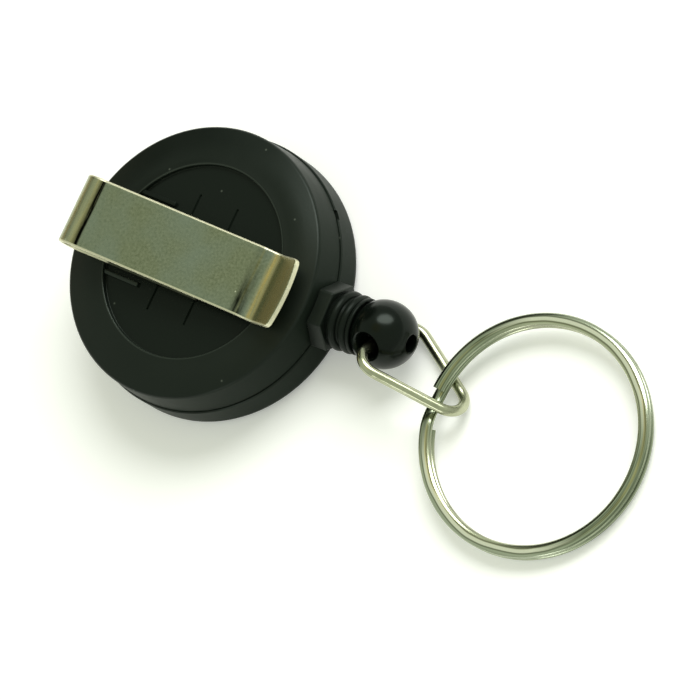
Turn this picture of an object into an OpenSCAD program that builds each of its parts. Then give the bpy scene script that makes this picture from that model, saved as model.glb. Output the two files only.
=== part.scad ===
// Retractable badge reel with a belt clip, a ball stop, a wire link and a split ring.
// The reel lies on its front face. X runs out through the nozzle, Z rises to the clip side,
// and the origin is the centre of the front face.

/* [Case] */
// Outside diameter of the case
case_d = 32; // [29:0.5:40]
// Thickness of the case from the front face to the rear rim
case_h = 9.3; // [8.8:0.1:12]
// Thickness of the side wall
wall = 1.4; // [1.2:0.1:1.8]
// Thickness of the front wall
front_t = 1.3; // [1.1:0.1:1.6]
// Thickness of the rear wall under the recess
roof_t = 1.2; // [0.9:0.1:1.4]
// Height of the parting line above the front face
seam_z = 4.5; // [4.2:0.1:4.8]
// Bevel on each side of the parting line
seam_bevel = 0.12; // [0.05:0.01:0.25]
// Step by which the rear half is smaller than the front half at the parting line
rear_step = 0.2; // [0.1:0.02:0.3]
// Distance of the ridge of the rear rim inside the front half's wall
rear_draft = 0.44; // [0.32:0.02:0.8]
// Drop of that ridge below the rear face
ridge_drop = 0.25; // [0.2:0.05:0.5]
// Width of the sloping band inside the ridge
crown_w = 1.05; // [0.6:0.05:1.4]
// Fillet of the front rim
front_fillet = 1.3; // [0.5:0.05:1.4]
// Height of the lap that keys the two halves together
lap_h = 1; // [0.6:0.1:1.3]
// Thickness of the lap
lap_t = 0.6; // [0.4:0.05:0.7]
// Diameter of the round recess in the rear face
recess_d = 22.1; // [20.5:0.1:23.5]
// Depth of the round recess
recess_depth = 0.55; // [0.4:0.05:0.7]
// Width of the pry notch in the parting line
notch_w = 1.2; // [0.8:0.1:2]
// Direction of the pry notch round the case
notch_az = 42; // [35:1:70]

/* [Belt clip] */
// Width of the clip strip
clip_w = 8.1; // [6:0.1:8.6]
// Thickness of the clip strip
clip_t = 0.6; // [0.45:0.05:0.75]
// Turn of the clip and its seat from the nozzle direction
clip_yaw = -2.5; // [-5:0.1:5]
// Shift of the clip and its seat to the side
clip_side = 0.2; // [0:0.05:0.4]
// Radius of the fold, to the middle of the strip
fold_r = 1.75; // [1.6:0.05:2.2]
// Distance of the fold's axis inside the case rim
fold_inset = 2.75; // [2.6:0.05:3.4]
// Steepness of the strip between the fold and the crease
crease_a = 15; // [8:1:20]
// Distance from the fold's axis to the crease
crease_run = 1.1; // [0.75:0.05:1.3]
// Distance from the case rim to the bend at the end of the arm
arm_inset = 6.5; // [5.5:0.1:8]
// Fall of the arm from the crease to that bend
arm_fall = 1.55; // [1:0.05:1.8]
// Distance from that bend to the grip bend
grip_run = 1.5; // [1.2:0.05:2]
// Fall of the strip between the two bends
grip_fall = 1; // [0.7:0.05:1.2]
// Upward slope of the lip
lip_a = 28; // [15:1:35]
// Distance of the lip's rounded end inside the case rim
lip_inset = 1.1; // [0.8:0.1:2]
// Inside bend radius of the arm's bends
bend_r = 0.5; // [0.3:0.05:0.8]

/* [Clip seat] */
// Place of the first slit along the clip
slit_a = -2.9; // [-3.4:0.1:-2.4]
// Place of the second slit along the clip
slit_b = 2.3; // [1.8:0.1:2.8]
// Clearance of the strip in a slit, each side
slit_clear = 0.05; // [0.03:0.01:0.1]
// Length of the groove that runs out of each slit on both sides of the clip
line_len = 14; // [11:0.5:15]
// Width of that groove
line_w = 0.3; // [0.2:0.02:0.5]
// Depth of that groove
line_d = 0.25; // [0.15:0.05:0.4]
// Length of the hook under the rear wall
hook_len = 1.5; // [1:0.1:2]
// Width of the prong in the first slit
prong_w = 3; // [2:0.1:4]
// Length of the rails beside the leg
rail_len = 5.2; // [3:0.1:6]
// Width of the rails
rail_w = 0.55; // [0.4:0.05:0.8]
// Height of the rails
rail_h = 0.38; // [0.2:0.02:0.5]
// Space between the leg and a rail
rail_gap = 0.55; // [0.2:0.05:0.8]

/* [Nozzle] */
// Width of the hexagon across its corners
hex_d = 7.7; // [7:0.1:8.5]
// Length of the hexagon outside the case
hex_len = 1.65; // [1.2:0.05:2.5]
// Width of the neck in the case wall
neck_w = 4.6; // [4:0.1:5]
// Height of the neck in the case wall
neck_h = 4.2; // [3.6:0.1:4.4]
// Thickness of the flange inside the case
flange_t = 1.1; // [0.9:0.1:1.4]
// Width of the flange inside the case
flange_w = 6.4; // [5.6:0.1:7]
// Height of the flange inside the case
flange_h = 5.2; // [4.8:0.1:5.4]
// Clearance of the neck in its window, each side
neck_clear = 0.05; // [0.03:0.01:0.1]

/* [Bumper] */
// Space between the hexagon and the first rib
rib_lead = 0.38; // [0.2:0.02:0.5]
// Radius of the first rib
rib_r = 3.38; // [3.3:0.02:3.6]
// Loss of radius from the first rib to the second
rib_taper = 0.06; // [0:0.01:0.1]
// Width of a rib
rib_w = 1.05; // [0.8:0.05:1.15]
// Distance from rib to rib
rib_pitch = 1.38; // [1.25:0.01:1.6]
// Radius of the rim round the ball seat
rim_r = 3.2; // [3.15:0.01:3.3]
// Width of the rim round the ball seat
rim_w = 0.46; // [0.36:0.02:0.7]
// Radius at the bottom of the grooves
groove_r = 2.8; // [2.5:0.05:3]
// Radius of the mouth of the ball seat
seat_r = 2.95; // [2.6:0.05:3]
// Radius of the spigot in the hexagon
spigot_r = 1.7; // [1.4:0.05:2]
// Length of the spigot
spigot_len = 1; // [0.6:0.1:1.2]

/* [Cord] */
// Diameter of the cord
cord_d = 0.9; // [0.7:0.05:1]
// Length of cord that pulls out
cord_len = 600; // [300:10:700]
// Clearance of the cord in its holes, all round
cord_clear = 0.15; // [0.1:0.01:0.25]
// Radius of the cord's bend into the nozzle
cord_bend = 1.5; // [1.2:0.05:1.8]
// Diameter of the end knot
knot_d = 1.7; // [1.5:0.05:1.9]

/* [Ball] */
// Diameter of the ball
ball_d = 7.58; // [7.2:0.02:8.4]
// Clearance of the ball in its seat
ball_clear = 0.12; // [0.08:0.01:0.2]
// Depth of the shoulder that holds the knot, from the back of the ball
shoulder = 1.3; // [1.1:0.05:1.5]
// Diameter of the hole at the far end of the ball
knot_hole_d = 2; // [2:0.05:2.3]
// Clearance of the wire in the cross hole, all round
cross_clear = 0.7; // [0.6:0.02:0.8]
// Flare of the mouths of the cross hole
cross_flare = 0.55; // [0.45:0.05:0.7]

/* [Wire link] */
// Diameter of the wire
wire_d = 1.2; // [1:0.05:1.3]
// Width of the triangle at its base, to the sharp corners of the wire's middle
link_w = 11.7; // [11.3:0.1:12.5]
// Height of the triangle, base to apex, to the wire's middle
link_len = 11.6; // [11:0.1:13]
// Radius of the bend at the apex
apex_r = 2.15; // [1.9:0.05:2.3]
// Radius of the bends at the base
corner_r = 2.05; // [1.8:0.05:2.2]
// Roll of the cross hole round the nozzle's axis
link_roll = 48.6; // [40:0.2:60]
// Swing of the link out of the nozzle's axis
link_swing = 26.5; // [20:0.1:30]
// Shift of the link along the cross hole
link_shift = 0.76; // [0.6:0.02:0.8]
// Shift of the link towards its apex
link_play = 0.3; // [0.2:0.02:0.4]

/* [Split ring] */
// Outside diameter of the split ring
ring_d = 26.8; // [22:0.1:32]
// Radial width of the ring's wire
coil_w = 1.45; // [1.2:0.05:1.6]
// Thickness of one coil
coil_t = 0.8; // [0.77:0.01:0.9]
// Gap between the two coils
coil_gap = 0.1; // [0.06:0.01:0.15]
// Rounding of the ring's wire
coil_round = 0.36; // [0.15:0.01:0.38]
// Where the upper coil ends, as an angle in the ring
cut_a = 175; // [170:1:178]
// Angle over which one coil steps down to the other
ring_step = 20; // [16:1:50]
// Distance of the ring inside the link's apex
ring_slack = 2.76; // [2.5:0.02:3]
// Place of the ring across the link
ring_side = 1.14; // [0.8:0.02:1.3]
// Height of the ring over the link's plane
ring_rise = 1.01; // [0.9:0.01:1.2]
// Tilt of the ring about X
ring_tilt_x = 1.6; // [0:0.1:4]
// Tilt of the ring about Y
ring_tilt_y = 2.5; // [1:0.1:5]

/* [Spool and spring] */
// Radius of the drum under the cord
drum_r = 7.1; // [6.8:0.1:7.6]
// Thickness of the drum wall
drum_t = 0.8; // [0.6:0.05:1]
// Thickness of the spool's flanges
spool_web = 0.7; // [0.5:0.05:0.9]
// Running gap round the spool
spool_gap = 0.4; // [0.3:0.05:0.6]
// Radius of the arbor
arbor_r = 1.6; // [1.3:0.05:1.9]
// Running clearance on the arbor
arbor_clear = 0.05; // [0.03:0.01:0.08]
// Radius of the arbor's foot in the front wall
foot_r = 1; // [0.8:0.05:1.2]
// Depth of the arbor's foot in the front wall
foot_depth = 0.6; // [0.4:0.05:0.7]
// Width of the arbor's slot
slot_w = 0.4; // [0.3:0.02:0.5]
// Thickness of the spring strip
spring_t = 0.15; // [0.1:0.01:0.18]
// Turns of the spring
spring_turns = 9; // [6:0.5:10]
// Thickness of the cover over the spring
cover_t = 0.5; // [0.4:0.05:0.6]

/* [Hidden] */
$fn = 64;
e = 0.01;
// A bend swells the wire by this much, and the straights run this far into it
swell = 0.012;
sink = 0.05;
case_r = case_d / 2;
inner_r = case_r - wall;
recess_r = recess_d / 2;
floor_z = case_h - recess_depth;
roof_z = floor_z - roof_t;
noz_z = case_h / 2;
lap_r = inner_r + lap_t;
lap_clear = 0.05;

// The clip's path in its own plane, x along the clip and y up
foot_z = floor_z + clip_t / 2;
leg_z = case_h + clip_t / 2;
hook_z = roof_z - slit_clear - clip_t / 2;
slit_w = clip_t + 2 * slit_clear;
turn_r = slit_w / 2 - e;
edge_y = clip_w / 2 + clip_side;
edge_x = sqrt(recess_r * recess_r - edge_y * edge_y);
fold_x = -(case_r - fold_inset);
fold_z = leg_z + fold_r;
top_x = fold_x + fold_r * sin(crease_a);
top_z = fold_z + fold_r * cos(crease_a);
crease_x = fold_x + crease_run;
crease_z = top_z - (crease_x - top_x) * tan(crease_a);
arm_x = case_r - arm_inset;
arm_z = crease_z - arm_fall;
grip_x = arm_x + grip_run;
grip_z = arm_z - grip_fall;
lip_r = case_r - lip_inset;

// Nozzle, bumper and ball along X
hex_x = case_r + hex_len;
bump_x = hex_x + rib_lead + rib_w / 2;
rim_x = bump_x + rib_pitch + rib_w / 2 + 0.05;
bump_end = rim_x + rim_w;
ball_r = ball_d / 2;
cup_r = ball_r + ball_clear;
ball_x = bump_end + sqrt(cup_r * cup_r - seat_r * seat_r);
ball_c = [ball_x, 0, noz_z];
bore_r = cord_d / 2 + cord_clear;
knot_x = ball_x - ball_r + shoulder;
mouth_x = inner_r - 0.05 - flange_t - 0.35;
join_x = mouth_x + flange_t + 0.6;

// Cross hole, link and ring directions
hole_v = [0, -cos(link_roll), sin(link_roll)];
side_v = cross([1, 0, 0], hole_v);
link_u = cos(link_swing) * [1, 0, 0] + sin(link_swing) * side_v;
link_n = cross(link_u, hole_v);
cross_r = wire_d / 2 + cross_clear;
half_w = link_w / 2;
// The sharp apex that a bend of apex_r rounds off to link_len
function sharp(lo, hi, n) = n == 0 ? (lo + hi) / 2 :
    let (m = (lo + hi) / 2, a = atan2(half_w, m))
    m - apex_r / sin(a) + apex_r > link_len ? sharp(lo, m, n - 1) : sharp(m, hi, n - 1);
tip = sharp(link_len, link_len + 60, 50);
taper_a = atan2(half_w, tip);
ring_r = ring_d / 2 - coil_w / 2;
hang = ball_c + (link_play + link_len - ring_slack) * link_u + ring_side * hole_v + ring_rise * link_n;

// Spool space
tab_z = hook_z - clip_t / 2;
spool_z0 = front_t + spool_gap;
spool_z1 = tab_z - spool_gap - 0.2;
flange_r = mouth_x - spool_gap;
drum_in = drum_r - drum_t;
groove_z0 = spool_z0 + spool_web;
groove_z1 = spool_z1 - spool_web;
wound_r = sqrt(drum_r * drum_r + cord_len * cord_d * cord_d / 4 / 0.8 / (groove_z1 - groove_z0));
cover_z = spool_z1 - cover_t;
feed_r = wound_r + cord_d / 2 + 0.1;
// Angle of the cord's bend into the nozzle, from the tangent to the winding
function settle(a, n) = n == 0 ? a :
    settle(asin(feed_r / (join_x - cord_bend * tan(a / 2) - 0.02)), n - 1);
bend_a = settle(45, 30);
corner_x = join_x - cord_bend * tan(bend_a / 2) - 0.02;

echo(ball_c = ball_c, hole_v = hole_v, link_u = link_u, hang = hang, wound_r = wound_r, join_x = join_x);
echo(clip_top = fold_z + fold_r + clip_t / 2, grip_low = grip_z - clip_t / 2);
echo(hex_x = hex_x, bump_end = bump_end);

// Points of an arc, from angle a to angle b
function arc(c, r, a, b, n) = [for (i = [0 : n]) let (t = a + (b - a) * i / n) c + r * [cos(t), sin(t)]];

// A path corner rounded with radius r, as points
function round_at(p, q, s, r) =
    let (u = (p - q) / norm(p - q), v = (s - q) / norm(s - q),
        t = acos(u * v) / 2, k = r / tan(t), m = (u + v) / norm(u + v),
        c = q + m * r / sin(t), a = q + u * k - c, b = q + v * k - c,
        a0 = atan2(a[1], a[0]), d = atan2(b[1], b[0]) - a0,
        w = d > 180 ? d - 360 : d < -180 ? d + 360 : d)
    [for (i = [0 : 6]) c + r * [cos(a0 + w * i / 6), sin(a0 + w * i / 6)]];

// Side step of a path at point i, square to the path
function square_to(p, i) =
    let (a = p[max(i - 1, 0)], b = p[min(i + 1, len(p) - 1)], d = (b - a) / norm(b - a)) [-d[1], d[0]];

// Outline of a strip of thickness t along a path
function strip(p, t) = concat(
    [for (i = [0 : len(p) - 1]) p[i] + square_to(p, i) * t / 2],
    [for (i = [len(p) - 1 : -1 : 0]) p[i] - square_to(p, i) * t / 2]);

module along_x(x = 0) {
    translate([x, 0, noz_z]) rotate([0, 90, 0]) children();
}

// Outline of half of a revolved disc, with one rounded outer corner
module disc_2d(r, h, f) {
    square([r - f, h]);
    translate([0, f]) square([r, h - f]);
    translate([r - f, f]) circle(f);
}

module window(z0, z1) {
    w = neck_w + 2 * neck_clear;
    translate([inner_r - 2, -w / 2, z0]) cube([wall + 4, w, z1 - z0]);
}

module front_case() {
    color("#22241f") difference() {
        union() {
            rotate_extrude() difference() {
                disc_2d(case_r, seam_z, front_fillet);
                translate([0, front_t]) square([inner_r, seam_z]);
                translate([case_r, seam_z]) rotate(45) square(seam_bevel * sqrt(2), center = true);
            }
            rotate_extrude() translate([inner_r, seam_z - e]) square([lap_t - lap_clear, lap_h + e]);
            translate([0, 0, front_t - e]) cylinder(r = arbor_r + 0.8, h = spool_gap - 0.15 + e);
        }
        translate([0, 0, front_t + spool_gap - 0.15 - foot_depth]) cylinder(r = foot_r + 0.02, h = 2);
        window(noz_z - neck_h / 2 - neck_clear, case_h);
        rotate(notch_az) translate([case_r, 0, seam_z]) cube([0.9, notch_w, 0.8], center = true);
    }
}

module rear_case() {
    color("#22241f") difference() {
        union() {
            difference() {
                rotate_extrude() polygon([
                    [0, seam_z],
                    [case_r - rear_step, seam_z],
                    [case_r - rear_draft, case_h - ridge_drop],
                    [case_r - rear_draft - crown_w, case_h],
                    [0, case_h]]);
                rotate_extrude() translate([0, seam_z - e]) square([lap_r, lap_h + 0.1 + e]);
                translate([0, 0, seam_z - e]) cylinder(r = inner_r, h = roof_z - seam_z + e);
                translate([0, 0, floor_z]) cylinder(r = recess_r, h = 2);
                rotate_extrude() translate([case_r - rear_step, seam_z])
                    rotate(45) square(seam_bevel * sqrt(2), center = true);
            }
            rotate(clip_yaw) for (s = [-1, 1]) {
                rail_y = clip_side + s * (clip_w / 2 + rail_gap + rail_w / 2);
                translate([-recess_r - 0.3, rail_y - rail_w / 2, floor_z - 0.2])
                    cube([rail_len + 0.9, rail_w, rail_h + 0.2]);
            }
        }
        rotate(clip_yaw) for (x = [slit_a, slit_b]) slit(x);
        window(0, noz_z + neck_h / 2 + neck_clear);
    }
}

// One slit through the rear wall under the clip, in a narrow groove with round ends
module slit(x) {
    through = clip_w + 2 * slit_clear;
    translate([x, clip_side, 0]) {
        translate([-slit_w / 2, -through / 2, roof_z - 1]) cube([slit_w, through, 3]);
        translate([-line_w / 2, -(line_len - line_w) / 2, floor_z - line_d])
            cube([line_w, line_len - line_w, 2]);
        for (s = [-1, 1]) translate([0, s * (line_len - line_w) / 2, floor_z - line_d])
            cylinder(d = line_w, h = 2);
    }
}

module belt_clip() {
    a = [slit_b - hook_len, hook_z];
    b = [slit_b, hook_z];
    c = [slit_b, foot_z];
    d = [-(edge_x - 1.15), foot_z];
    f = [-(edge_x - 0.2), leg_z];
    g = [fold_x, leg_z];
    j = [crease_x, crease_z];
    k = [arm_x, arm_z];
    l = [grip_x, grip_z];
    m = [case_r + 2, grip_z + (case_r + 2 - grip_x) * tan(lip_a)];
    t = [top_x, top_z];
    path = concat([a], round_at(a, b, c, turn_r), round_at(b, c, d, turn_r), round_at(c, d, f, bend_r),
        round_at(d, f, g, bend_r), arc([fold_x, fold_z], fold_r, 270, 90 - crease_a, 24),
        round_at(t, j, k, bend_r), round_at(j, k, l, bend_r + clip_t / 2),
        round_at(k, l, m, bend_r + clip_t / 2), [m]);
    color("#a9a892") rotate(clip_yaw) {
        intersection() {
            translate([0, clip_side, 0]) rotate([90, 0, 0])
                linear_extrude(clip_w, center = true) polygon(strip(path, clip_t));
            union() {
                translate([0, 0, hook_z - 1]) cylinder(r = lip_r, h = 20);
                translate([-2 * case_r, -case_r, hook_z - 1]) cube([2 * case_r, case_d, 20]);
            }
        }
        translate([slit_a - clip_t / 2, clip_side - prong_w / 2, tab_z])
            cube([clip_t, prong_w, foot_z - tab_z]);
    }
}

module nozzle_collar() {
    color("#1d1f1b") difference() {
        union() {
            difference() {
                along_x(inner_r) rotate(30) cylinder(d = hex_d, h = hex_x - inner_r, $fn = 6);
                translate([0, 0, -5]) cylinder(r = case_r + 0.03, h = case_h + 10);
            }
            intersection() {
                translate([mouth_x + 0.2, -neck_w / 2, noz_z - neck_h / 2])
                    cube([wall + 2, neck_w, neck_h]);
                translate([0, 0, -5]) cylinder(r = case_r + 0.1, h = case_h + 10);
            }
            intersection() {
                translate([mouth_x, -flange_w / 2, noz_z - flange_h / 2])
                    cube([wall + 2, flange_w, flange_h]);
                translate([0, 0, -5]) cylinder(r = inner_r - 0.05, h = case_h + 10);
            }
        }
        along_x() cylinder(r = bore_r, h = 2 * case_r);
        along_x(mouth_x - e) cylinder(r1 = bore_r + flange_t * 1.25, r2 = bore_r, h = flange_t + e);
        along_x(hex_x - spigot_len - 0.05) cylinder(r = spigot_r + 0.04, h = spigot_len + 1);
    }
}

module bumper() {
    color("#1b1c19") difference() {
        along_x() rotate_extrude() {
            translate([0, hex_x - spigot_len]) square([spigot_r, spigot_len + e]);
            translate([0, hex_x]) square([groove_r, bump_end - hex_x]);
            translate([0, rim_x]) polygon([[0, 0], [rim_r - 0.05, 0], [rim_r, 0.08], [rim_r, rim_w - 0.12],
                [rim_r - 0.1, rim_w], [0, rim_w]]);
            for (i = [0, 1]) {
                r = rib_r - i * rib_taper - rib_w / 2;
                translate([0, bump_x + i * rib_pitch - rib_w / 2]) square([r, rib_w]);
                translate([r, bump_x + i * rib_pitch]) circle(d = rib_w);
            }
        }
        along_x() cylinder(r = bore_r, h = 2 * case_r);
        translate(ball_c) sphere(cup_r);
    }
}

module arbor() {
    z0 = front_t + spool_gap - 0.15;
    color("#b9bab4") difference() {
        union() {
            translate([0, 0, z0 - foot_depth]) cylinder(r = foot_r, h = foot_depth + e);
            translate([0, 0, z0]) cylinder(r = arbor_r, h = spool_z1 + 0.1 - z0);
        }
        translate([-2 * arbor_r, -slot_w / 2, groove_z0]) cube([4 * arbor_r, slot_w, case_h]);
    }
}

module spool() {
    bore = arbor_r + arbor_clear;
    color("#d8d6cc") difference() {
        rotate_extrude() {
            translate([bore, spool_z0]) square([flange_r - bore, spool_web]);
            translate([drum_in, spool_z0]) square([drum_t, spool_z1 - spool_z0]);
            translate([drum_in, groove_z1]) square([flange_r - drum_in, spool_web]);
        }
        translate([0, 0, cover_z]) cylinder(r = drum_in + drum_t / 2, h = 3);
    }
}

module spring_cover() {
    color("#e8e4d4") translate([0, 0, cover_z]) difference() {
        cylinder(r = drum_in + drum_t / 2 - 0.05, h = cover_t);
        translate([0, 0, -1]) cylinder(r = arbor_r + arbor_clear, h = 3);
    }
}

module power_spring() {
    r0 = arbor_r + 0.3;
    r1 = drum_in - 0.1 - spring_t;
    n = ceil(spring_turns * 24);
    turn = [for (i = [0 : n]) let (a = 360 * spring_turns * i / n, r = r0 + (r1 - r0) * i / n) [r, a]];
    out = [for (p = turn) (p[0] + spring_t) * [cos(p[1]), sin(p[1])]];
    back = [for (i = [n : -1 : 1]) turn[i][0] * [cos(turn[i][1]), sin(turn[i][1])]];
    z0 = groove_z0 + 0.15;
    color("#8d9196") translate([0, 0, z0]) {
        linear_extrude(cover_z - 0.15 - z0)
            polygon(concat(out, back, [[r0, -spring_t / 2], [r0 + spring_t, -spring_t / 2]]));
        translate([-arbor_r * 0.6, -spring_t / 2, 0.1])
            cube([arbor_r * 0.6 + r0 + spring_t, spring_t, cover_z - 0.35 - z0]);
    }
}

module cord_winding() {
    color("#15161a") rotate_extrude() {
        h = groove_z1 - groove_z0 - 0.1;
        f = 0.6;
        translate([drum_r + 0.05, groove_z0 + 0.05]) square([wound_r - drum_r - 0.05 - f, h]);
        translate([drum_r + 0.05, groove_z0 + 0.05 + f]) square([wound_r - drum_r - 0.05, h - 2 * f]);
        for (z = [groove_z0 + 0.05 + f, groove_z1 - 0.05 - f]) translate([wound_r - f, z]) circle(f);
    }
}

module cord_feed() {
    k = cord_bend * tan(bend_a / 2);
    run = sqrt(corner_x * corner_x - feed_r * feed_r);
    color("#15161a") translate([corner_x, 0, noz_z]) {
        translate([k - sink, 0, 0]) rotate([0, 90, 0])
            cylinder(d = cord_d, h = join_x - corner_x - k + sink);
        translate([k, cord_bend, 0]) rotate(-90 - bend_a) rotate_extrude(angle = bend_a)
            translate([cord_bend, 0]) circle(d = cord_d + swell);
        rotate(180 - bend_a) rotate([0, 90, 0]) translate([0, 0, k - sink])
            cylinder(d = cord_d, h = run - k + sink);
    }
}

module cord_run() {
    color("#15161a") along_x(join_x + 0.02) cylinder(d = cord_d, h = knot_x - join_x - 0.02);
}

module cord_knot() {
    color("#15161a") difference() {
        translate([knot_x + knot_d * 0.36, 0, noz_z]) sphere(d = knot_d);
        along_x(knot_x - knot_d) cylinder(d = knot_d * 1.2, h = knot_d);
    }
}

module ball() {
    color("#141513") translate(ball_c) difference() {
        sphere(ball_r);
        rotate([0, 90, 0]) translate([0, 0, -ball_d]) cylinder(r = bore_r, h = ball_d);
        translate([-ball_r + shoulder, 0, 0]) rotate([0, 90, 0]) cylinder(d = knot_hole_d, h = ball_d);
        rotate([90 - link_roll, 0, 0]) {
            cylinder(r = cross_r, h = 2 * ball_d, center = true);
            for (m = [0, 1]) mirror([0, 0, m]) translate([0, 0, ball_r - 1.4])
                cylinder(r1 = cross_r, r2 = cross_r + cross_flare, h = 1.4 + e);
        }
    }
}

// A wire bend in the XY plane: centre c, middle radius r, from angle a through w
module wire_bend(c, r, a, w) {
    translate([c[0], c[1], 0]) rotate(a) rotate_extrude(angle = w)
        translate([r, 0]) circle(d = wire_d + swell);
}

// A straight wire in the XY plane from p to q
module wire_rod(p, q) {
    d = q - p;
    translate([p[0], p[1], 0]) rotate(atan2(d[1], d[0])) rotate([0, 90, 0])
        translate([0, 0, -sink]) cylinder(d = wire_d, h = norm(d) + 2 * sink);
}

module wire_link() {
    turn = 90 - taper_a;
    ac = [tip - apex_r / sin(taper_a), 0];
    cv = half_w - corner_r * (1 + sin(taper_a)) / cos(taper_a);
    out = [sin(taper_a), cos(taper_a)];
    color("#d3d0b4") translate(ball_c) rotate([180 - link_roll, 0, 0]) rotate([0, -link_swing, 0])
        translate([link_play, link_shift, 0]) {
            wire_bend(ac, apex_r, -turn, 2 * turn);
            wire_bend([corner_r, cv], corner_r, turn, 180 - turn);
            wire_bend([corner_r, -cv], corner_r, 180, 180 - turn);
            wire_rod([0, -cv], [0, cv]);
            for (s = [-1, 1]) wire_rod([corner_r + corner_r * out[0], s * (cv + corner_r * out[1])],
                [ac[0] + apex_r * out[0], s * apex_r * out[1]]);
        }
}

// Section of the ring's wire: a rounded bar, across the ring and up
function bar(w, t, r) = [for (q = [0 : 3], i = [0 : 2])
    let (a = 90 * q + 45 * i, sx = q == 0 || q == 3 ? 1 : -1, sy = q < 2 ? 1 : -1)
    [sx * (w / 2 - r) + r * cos(a), sy * (t / 2 - r) + r * sin(a)]];

module split_ring() {
    lift = (coil_t + coil_gap) / 2;
    last = 720 - ring_step;
    spots = concat(
        [for (i = [0 : 44]) (360 - ring_step) * i / 45],
        [for (i = [0 : 9]) 360 - ring_step + ring_step * i / 10],
        [for (i = [0 : 45]) 360 + (last - 360) * i / 45]);
    n = len(spots) - 1;
    sec = bar(coil_w, coil_t, coil_round);
    k = len(sec);
    function ease(x) = x < 0 ? 0 : x > 1 ? 1 : x * x * (3 - 2 * x);
    function level(s) = lift - 2 * lift * ease((s - 360 + ring_step) / ring_step);
    pts = [for (s = spots) let (a = cut_a - s)
        for (p = sec) [(ring_r + p[0]) * cos(a), (ring_r + p[0]) * sin(a), level(s) + p[1]]];
    sides = [for (i = [0 : n - 1], j = [0 : k - 1])
        let (a = i * k + j, b = i * k + (j + 1) % k) each [[a, b, b + k], [a, b + k, a + k]]];
    ends = [for (j = [1 : k - 2]) each [[0, j + 1, j], [n * k, n * k + j, n * k + j + 1]]];
    color("#b3b29d") translate(hang) rotate([ring_tilt_x, ring_tilt_y, 0]) translate([ring_r, 0, 0])
        polyhedron(pts, concat(sides, ends), convexity = 4);
}

front_case();
rear_case();
belt_clip();
nozzle_collar();
bumper();
arbor();
spool();
spring_cover();
power_spring();
cord_winding();
cord_feed();
cord_run();
cord_knot();
ball();
wire_link();
split_ring();
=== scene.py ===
"""Looks of the retractable badge reel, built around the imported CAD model. Sizes are in millimetres."""
import math

import bmesh
import bpy
from mathutils import Matrix, Vector


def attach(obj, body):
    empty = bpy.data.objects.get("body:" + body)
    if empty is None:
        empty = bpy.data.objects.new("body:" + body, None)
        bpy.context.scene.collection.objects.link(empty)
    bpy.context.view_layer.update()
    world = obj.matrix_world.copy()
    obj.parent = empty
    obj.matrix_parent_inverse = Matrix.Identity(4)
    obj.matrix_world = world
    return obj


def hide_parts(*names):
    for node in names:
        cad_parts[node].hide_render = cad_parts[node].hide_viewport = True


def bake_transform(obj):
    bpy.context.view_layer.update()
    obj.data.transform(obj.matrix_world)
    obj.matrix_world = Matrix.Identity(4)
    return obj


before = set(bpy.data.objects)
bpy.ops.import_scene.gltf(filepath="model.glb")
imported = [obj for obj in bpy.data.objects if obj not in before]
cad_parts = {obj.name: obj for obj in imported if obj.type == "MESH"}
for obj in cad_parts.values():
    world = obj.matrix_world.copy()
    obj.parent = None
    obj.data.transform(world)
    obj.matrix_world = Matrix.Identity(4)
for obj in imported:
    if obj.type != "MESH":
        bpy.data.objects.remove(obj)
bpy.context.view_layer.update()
scene = bpy.context.scene
scene.view_settings.view_transform = "Standard"
MM = 0.001

# Camera at the photograph's viewing angle
CAMERA_RIGHT = Vector((0.80389657, 0.39041675, -0.44869261))
CAMERA_UP = Vector((-0.28759577, 0.91550156, 0.28132821))
CAMERA_BACK = Vector((0.52061403, -0.09711669, 0.84825077))
CAMERA_AT = Vector((325.00078, -59.68169, 501.03573))
camera_data = bpy.data.cameras.new("photo_camera")
camera_data.lens = 278.695
camera_data.sensor_width = 36
camera_data.sensor_fit = "HORIZONTAL"
camera_data.clip_start = 0.01
camera_data.clip_end = 20
camera = bpy.data.objects.new("photo_camera", camera_data)
camera.matrix_world = Matrix.Translation(CAMERA_AT * MM) @ Matrix(
    (CAMERA_RIGHT, CAMERA_UP, CAMERA_BACK)).transposed().to_4x4()
scene.collection.objects.link(camera)
scene.camera = camera

# Sizes shared with the part's source
CASE_R, CASE_H, INNER_R = 16.0, 9.3, 14.6
FRONT_T, ROOF_Z, FLOOR_Z = 1.3, 7.55, 8.75
SEAM_Z, SEAM_BEVEL = 4.5, 0.12
LAP_R, LAP_H, LAP_CLEAR = 15.2, 1.0, 0.05
REAR_R, RIDGE_R, RIDGE_Z = 15.8, 15.56, 9.05
RECESS_R = 11.05
NOZ_Z = CASE_H / 2
CLIP_YAW, CLIP_SIDE, CLIP_W, CLIP_T = math.radians(-2.5), 0.2, 8.1, 0.6
SLIT_A, SLIT_B, SLIT_W, SLIT_CLEAR = -2.9, 2.3, 0.7, 0.05
LINE_LEN, LINE_W, LINE_D = 14.0, 0.3, 0.25
RAIL_SIDE, RAIL_HALF, RAIL_LEN, RAIL_H = 4.875, 0.275, 5.8, 0.38
WINDOW_HALF, WINDOW_RISE = 2.35, 2.15
BOSS_R, BOSS_Z, SOCKET_R, SOCKET_Z = 2.4, 1.55, 1.02, 0.95
NOTCH_A, NOTCH_HALF = math.radians(42), Vector((0.45, 0.6, 0.4))
HEX_D, HEX_BACK, HEX_X, MOUTH_X = 7.7, 14.9, 17.65, 13.1
NECK_HALF, NECK_RISE, NECK_END = 2.3, 2.1, 16.4
FLANGE_HALF, FLANGE_RISE, FLANGE_T = 3.2, 2.6, 1.05
SPIGOT_R, SPIGOT_LEN, SPIGOT_CLEAR = 1.7, 1.0, 0.04
BUMP_X, BUMP_END, RIM_X = 18.555, 20.97, 20.51
BORE_R, CORD_D = 0.6, 0.9
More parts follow.
